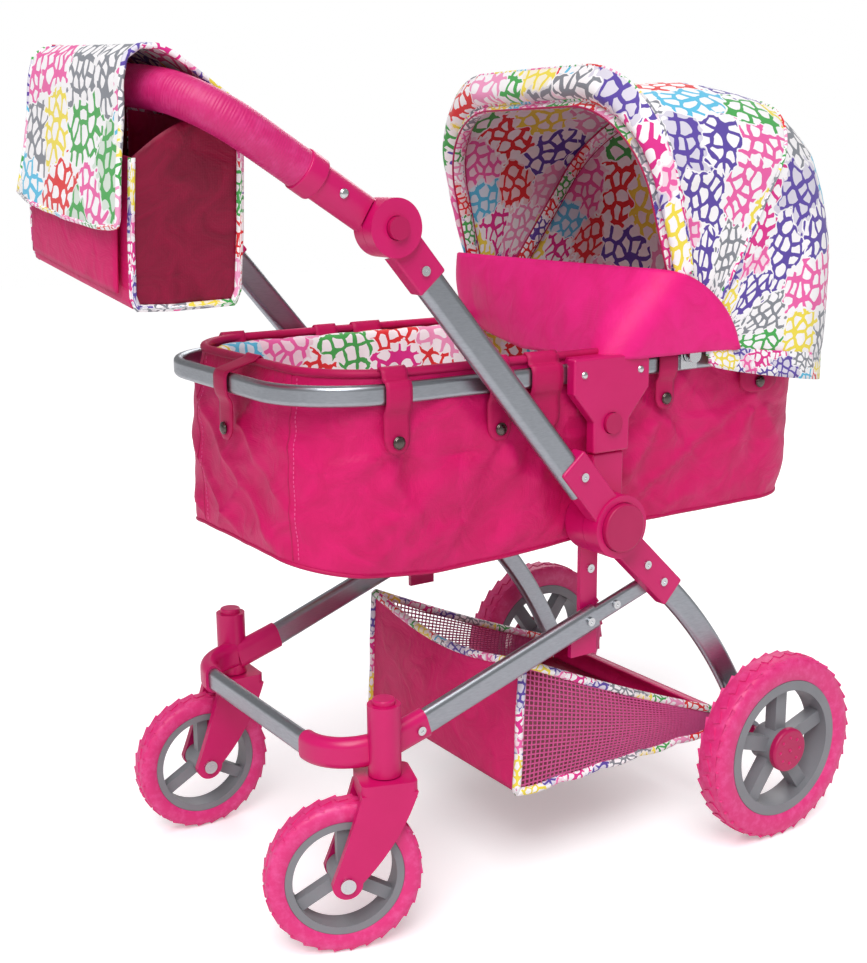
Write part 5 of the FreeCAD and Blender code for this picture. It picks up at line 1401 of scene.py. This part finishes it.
def makeBasket():
    x0, x1, half, low = axle.x - basket["front"], axle.x - basket["rear"], basket["half"], basket["floor"]
    frontTop, rearTop = basket["frontTop"], basket["rearTop"]
    lean, rise = basket["lean"], basket["floorRise"]

    def frontPanel(u, v):
        # The top edge sags between the two legs
        y = -half + 2 * half * u
        sag = basket["sag"] * math.sin(math.pi * u)
        top = frontTop - sag * 1.6
        swell = math.sin(math.pi * u) * math.sin(math.pi * v) * -7 * mm
        ripple = wave(u * 0.25, v * 0.12, 0.05, 51) * 2.5 * mm * math.sin(math.pi * v)
        return Vector((x0 + swell + ripple + lean * v, y, low + (top - low) * v))

    def floorPanel(u, v):
        y = -half + 2 * half * u
        sag = math.sin(math.pi * u) * math.sin(math.pi * v) * 4 * mm
        return Vector((x0 + (x1 - x0) * v, y, low - sag + rise * v))

    def rearPanel(u, v):
        y = -half + 2 * half * u
        return Vector((x1 - 2 * mm + math.sin(math.pi * v) * 3 * mm, y,
                       low + rise + (rearTop - low - rise) * v))

    # The floor panel is the darker pink that stands for the shade inside the basket: painted shade
    panels = {"basket_front": (frontPanel, "pinkNylon", 24), "basket_floor": (floorPanel, "shadedPinkNylon", 24),
              "basket_rear": (rearPanel, "pinkNylon", 8)}
    for name, (rule, material, rows) in panels.items():
        piece, size = clothGrid(name, rows, 40, rule, material, basket["cloth"])
        cloth(piece, "chassis")
        if name == "basket_front":
            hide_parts("basket")
    bindings = {"basket_top_binding": [frontPanel(i / 40, 1.0) for i in range(41)]}
    for sideName, side in sides.items():
        y = side * half
        net = linked("basket_net_" + sideName, [])
        grown(net, trees["net"], {
            "Across": int((x1 - x0) / basket["netPitch"]), "Down": int((frontTop - low) / basket["netPitch"]),
            "Thread": basket["netThread"], "Belly": side * basket["netBelly"],
            "Corner A": (x0, y, low), "Corner B": (x1, y, low + rise),
            "Corner C": (x1, y, rearTop), "Corner D": (x0 + lean, y, frontTop)}, "netThread")
        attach(net, "chassis")
        bindings["basket_side_binding_" + sideName] = [
            Vector((x0 + lean + (x1 - x0 - lean) * f, y,
                    frontTop + (rearTop - frontTop) * f - math.sin(math.pi * f) * 3 * mm))
            for f in np.linspace(0, 1, 30)]
        bindings["basket_corner_binding_" + sideName] = [
            frontPanel(0 if side < 0 else 1, v) for v in np.linspace(0, 1, 24)]
        bindings["basket_floor_binding_" + sideName] = [
            Vector((x0 + (x1 - x0) * f, y,
                    low + rise * f - abs(math.sin(math.pi * f * basket["scallops"])) * basket["scallop"]))
            for f in np.linspace(0, 1, 60)]
    for name, path in bindings.items():
        trim(name, path, basket["binding"], "smallPrint", "chassis")


makeBasket()
print("basket made")

# Bracket rivets and handle screws

hardware = {
    "rivet": 3.0 * mm, "rivetHalfSpacing": 29 * mm, "rivetDown": 13 * mm, "screw": 3.4 * mm,
    "screwAlong": 44 * mm, "screwOut": 13 * mm,
}


def makeHardware():
    for sideName, side in sides.items():
        low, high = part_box("side_bracket_" + sideName)
        face = high.y if side > 0 else low.y
        out = Vector((0, side, 0))
        spread = hardware["rivetHalfSpacing"]
        places = [Vector((hub.x + dx, face, high.z - hardware["rivetDown"])) for dx in (-spread, spread)]
        studs("bracket_rivets_" + sideName, places, [out] * 2, hardware["rivet"], 1.2 * mm, 0.45, "zinc",
              "bassinet")
        screwAt = gripPoint(hardware["screwAlong"], side * (grip["half"] + hardware["screwOut"]))
        studs("handle_screw_" + sideName, [screwAt], [out], hardware["screw"], 1.6 * mm, 0.4, "zinc",
              "handle")


makeHardware()
print("hardware made")

# Stage and light

stage = {
    "floor": "#fbfafb", "floorHaze": "#f7f6f7", "floorSize": 12.0, "glow": 0.32, "skyLight": 0.33,
    "sun": 1.75, "sunSpread": 40.0, "sunWay": (0.35, 0.45, -1.0), "aim": (0, 0, 0.35),
    # Place, size in metres and power of each lamp
    "lamps": {"key": ((-1.5, -1.7, 1.9), 1.1, 20), "edge": ((1.3, 1.4, 1.6), 1.2, 14)},
}


def makeStage():
    half = stage["floorSize"] / 2
    corners = [(-half, -half, 0), (half, -half, 0), (half, half, 0), (-half, half, 0)]
    floor = linked("studio_floor", corners, faces=[(0, 1, 2, 3)])
    # Painted board: matt, all but white, with a trace of unevenness
    made, tree, shader = newMaterial("painted studio floor", {"Roughness": 0.6})
    coords = add(tree, "ShaderNodeTexCoord").outputs["Object"]
    haze = add(tree, "ShaderNodeTexNoise", {"Vector": coords, "Scale": 3.0, "Detail": 3.0})
    tint = add(tree, "ShaderNodeMix", {0: haze.outputs["Fac"], 6: linear(stage["floor"]),
                                       7: linear(stage["floorHaze"])}, data_type="RGBA")
    tree.links.new(tint.outputs[2], shader.inputs["Base Color"])
    # Lifts the floor to white for the eye alone
    lookedAt = add(tree, "ShaderNodeLightPath").outputs["Is Camera Ray"]
    glow = add(tree, "ShaderNodeMath", {0: lookedAt, 1: stage["glow"]}, operation="MULTIPLY")
    tree.links.new(glow.outputs[0], shader.inputs["Emission Strength"])
    floor.data.materials.append(made)
    # The sky is white to the eye and softer as a light, so that the pinks stay deep
    world = bpy.data.worlds.new("studio")
    world.use_nodes = True
    tree = world.node_tree
    tree.nodes.clear()
    seen = add(tree, "ShaderNodeLightPath").outputs["Is Camera Ray"]
    strength = add(tree, "ShaderNodeMapRange", {"Value": seen, "To Min": stage["skyLight"], "To Max": 1.0})
    sky = add(tree, "ShaderNodeBackground", {"Color": (1, 1, 1, 1), "Strength": strength.outputs[0]})
    add(tree, "ShaderNodeOutputWorld", {"Surface": sky.outputs[0]})
    scene.world = world
    sun = bpy.data.lights.new("soft_sun", "SUN")
    sun.energy = stage["sun"]
    sun.angle = math.radians(stage["sunSpread"])
    sunLamp = bpy.data.objects.new("soft_sun", sun)
    sunLamp.rotation_euler = Vector(stage["sunWay"]).to_track_quat("-Z", "Y").to_euler()
    scene.collection.objects.link(sunLamp)
    for name, (place, size, power) in stage["lamps"].items():
        light = bpy.data.lights.new(name, "AREA")
        light.size = size
        light.energy = power
        lamp = bpy.data.objects.new(name, light)
        lamp.location = place
        lamp.rotation_euler = (Vector(stage["aim"]) - Vector(place)).to_track_quat("-Z", "Y").to_euler()
        scene.collection.objects.link(lamp)


makeStage()
print("stage made")
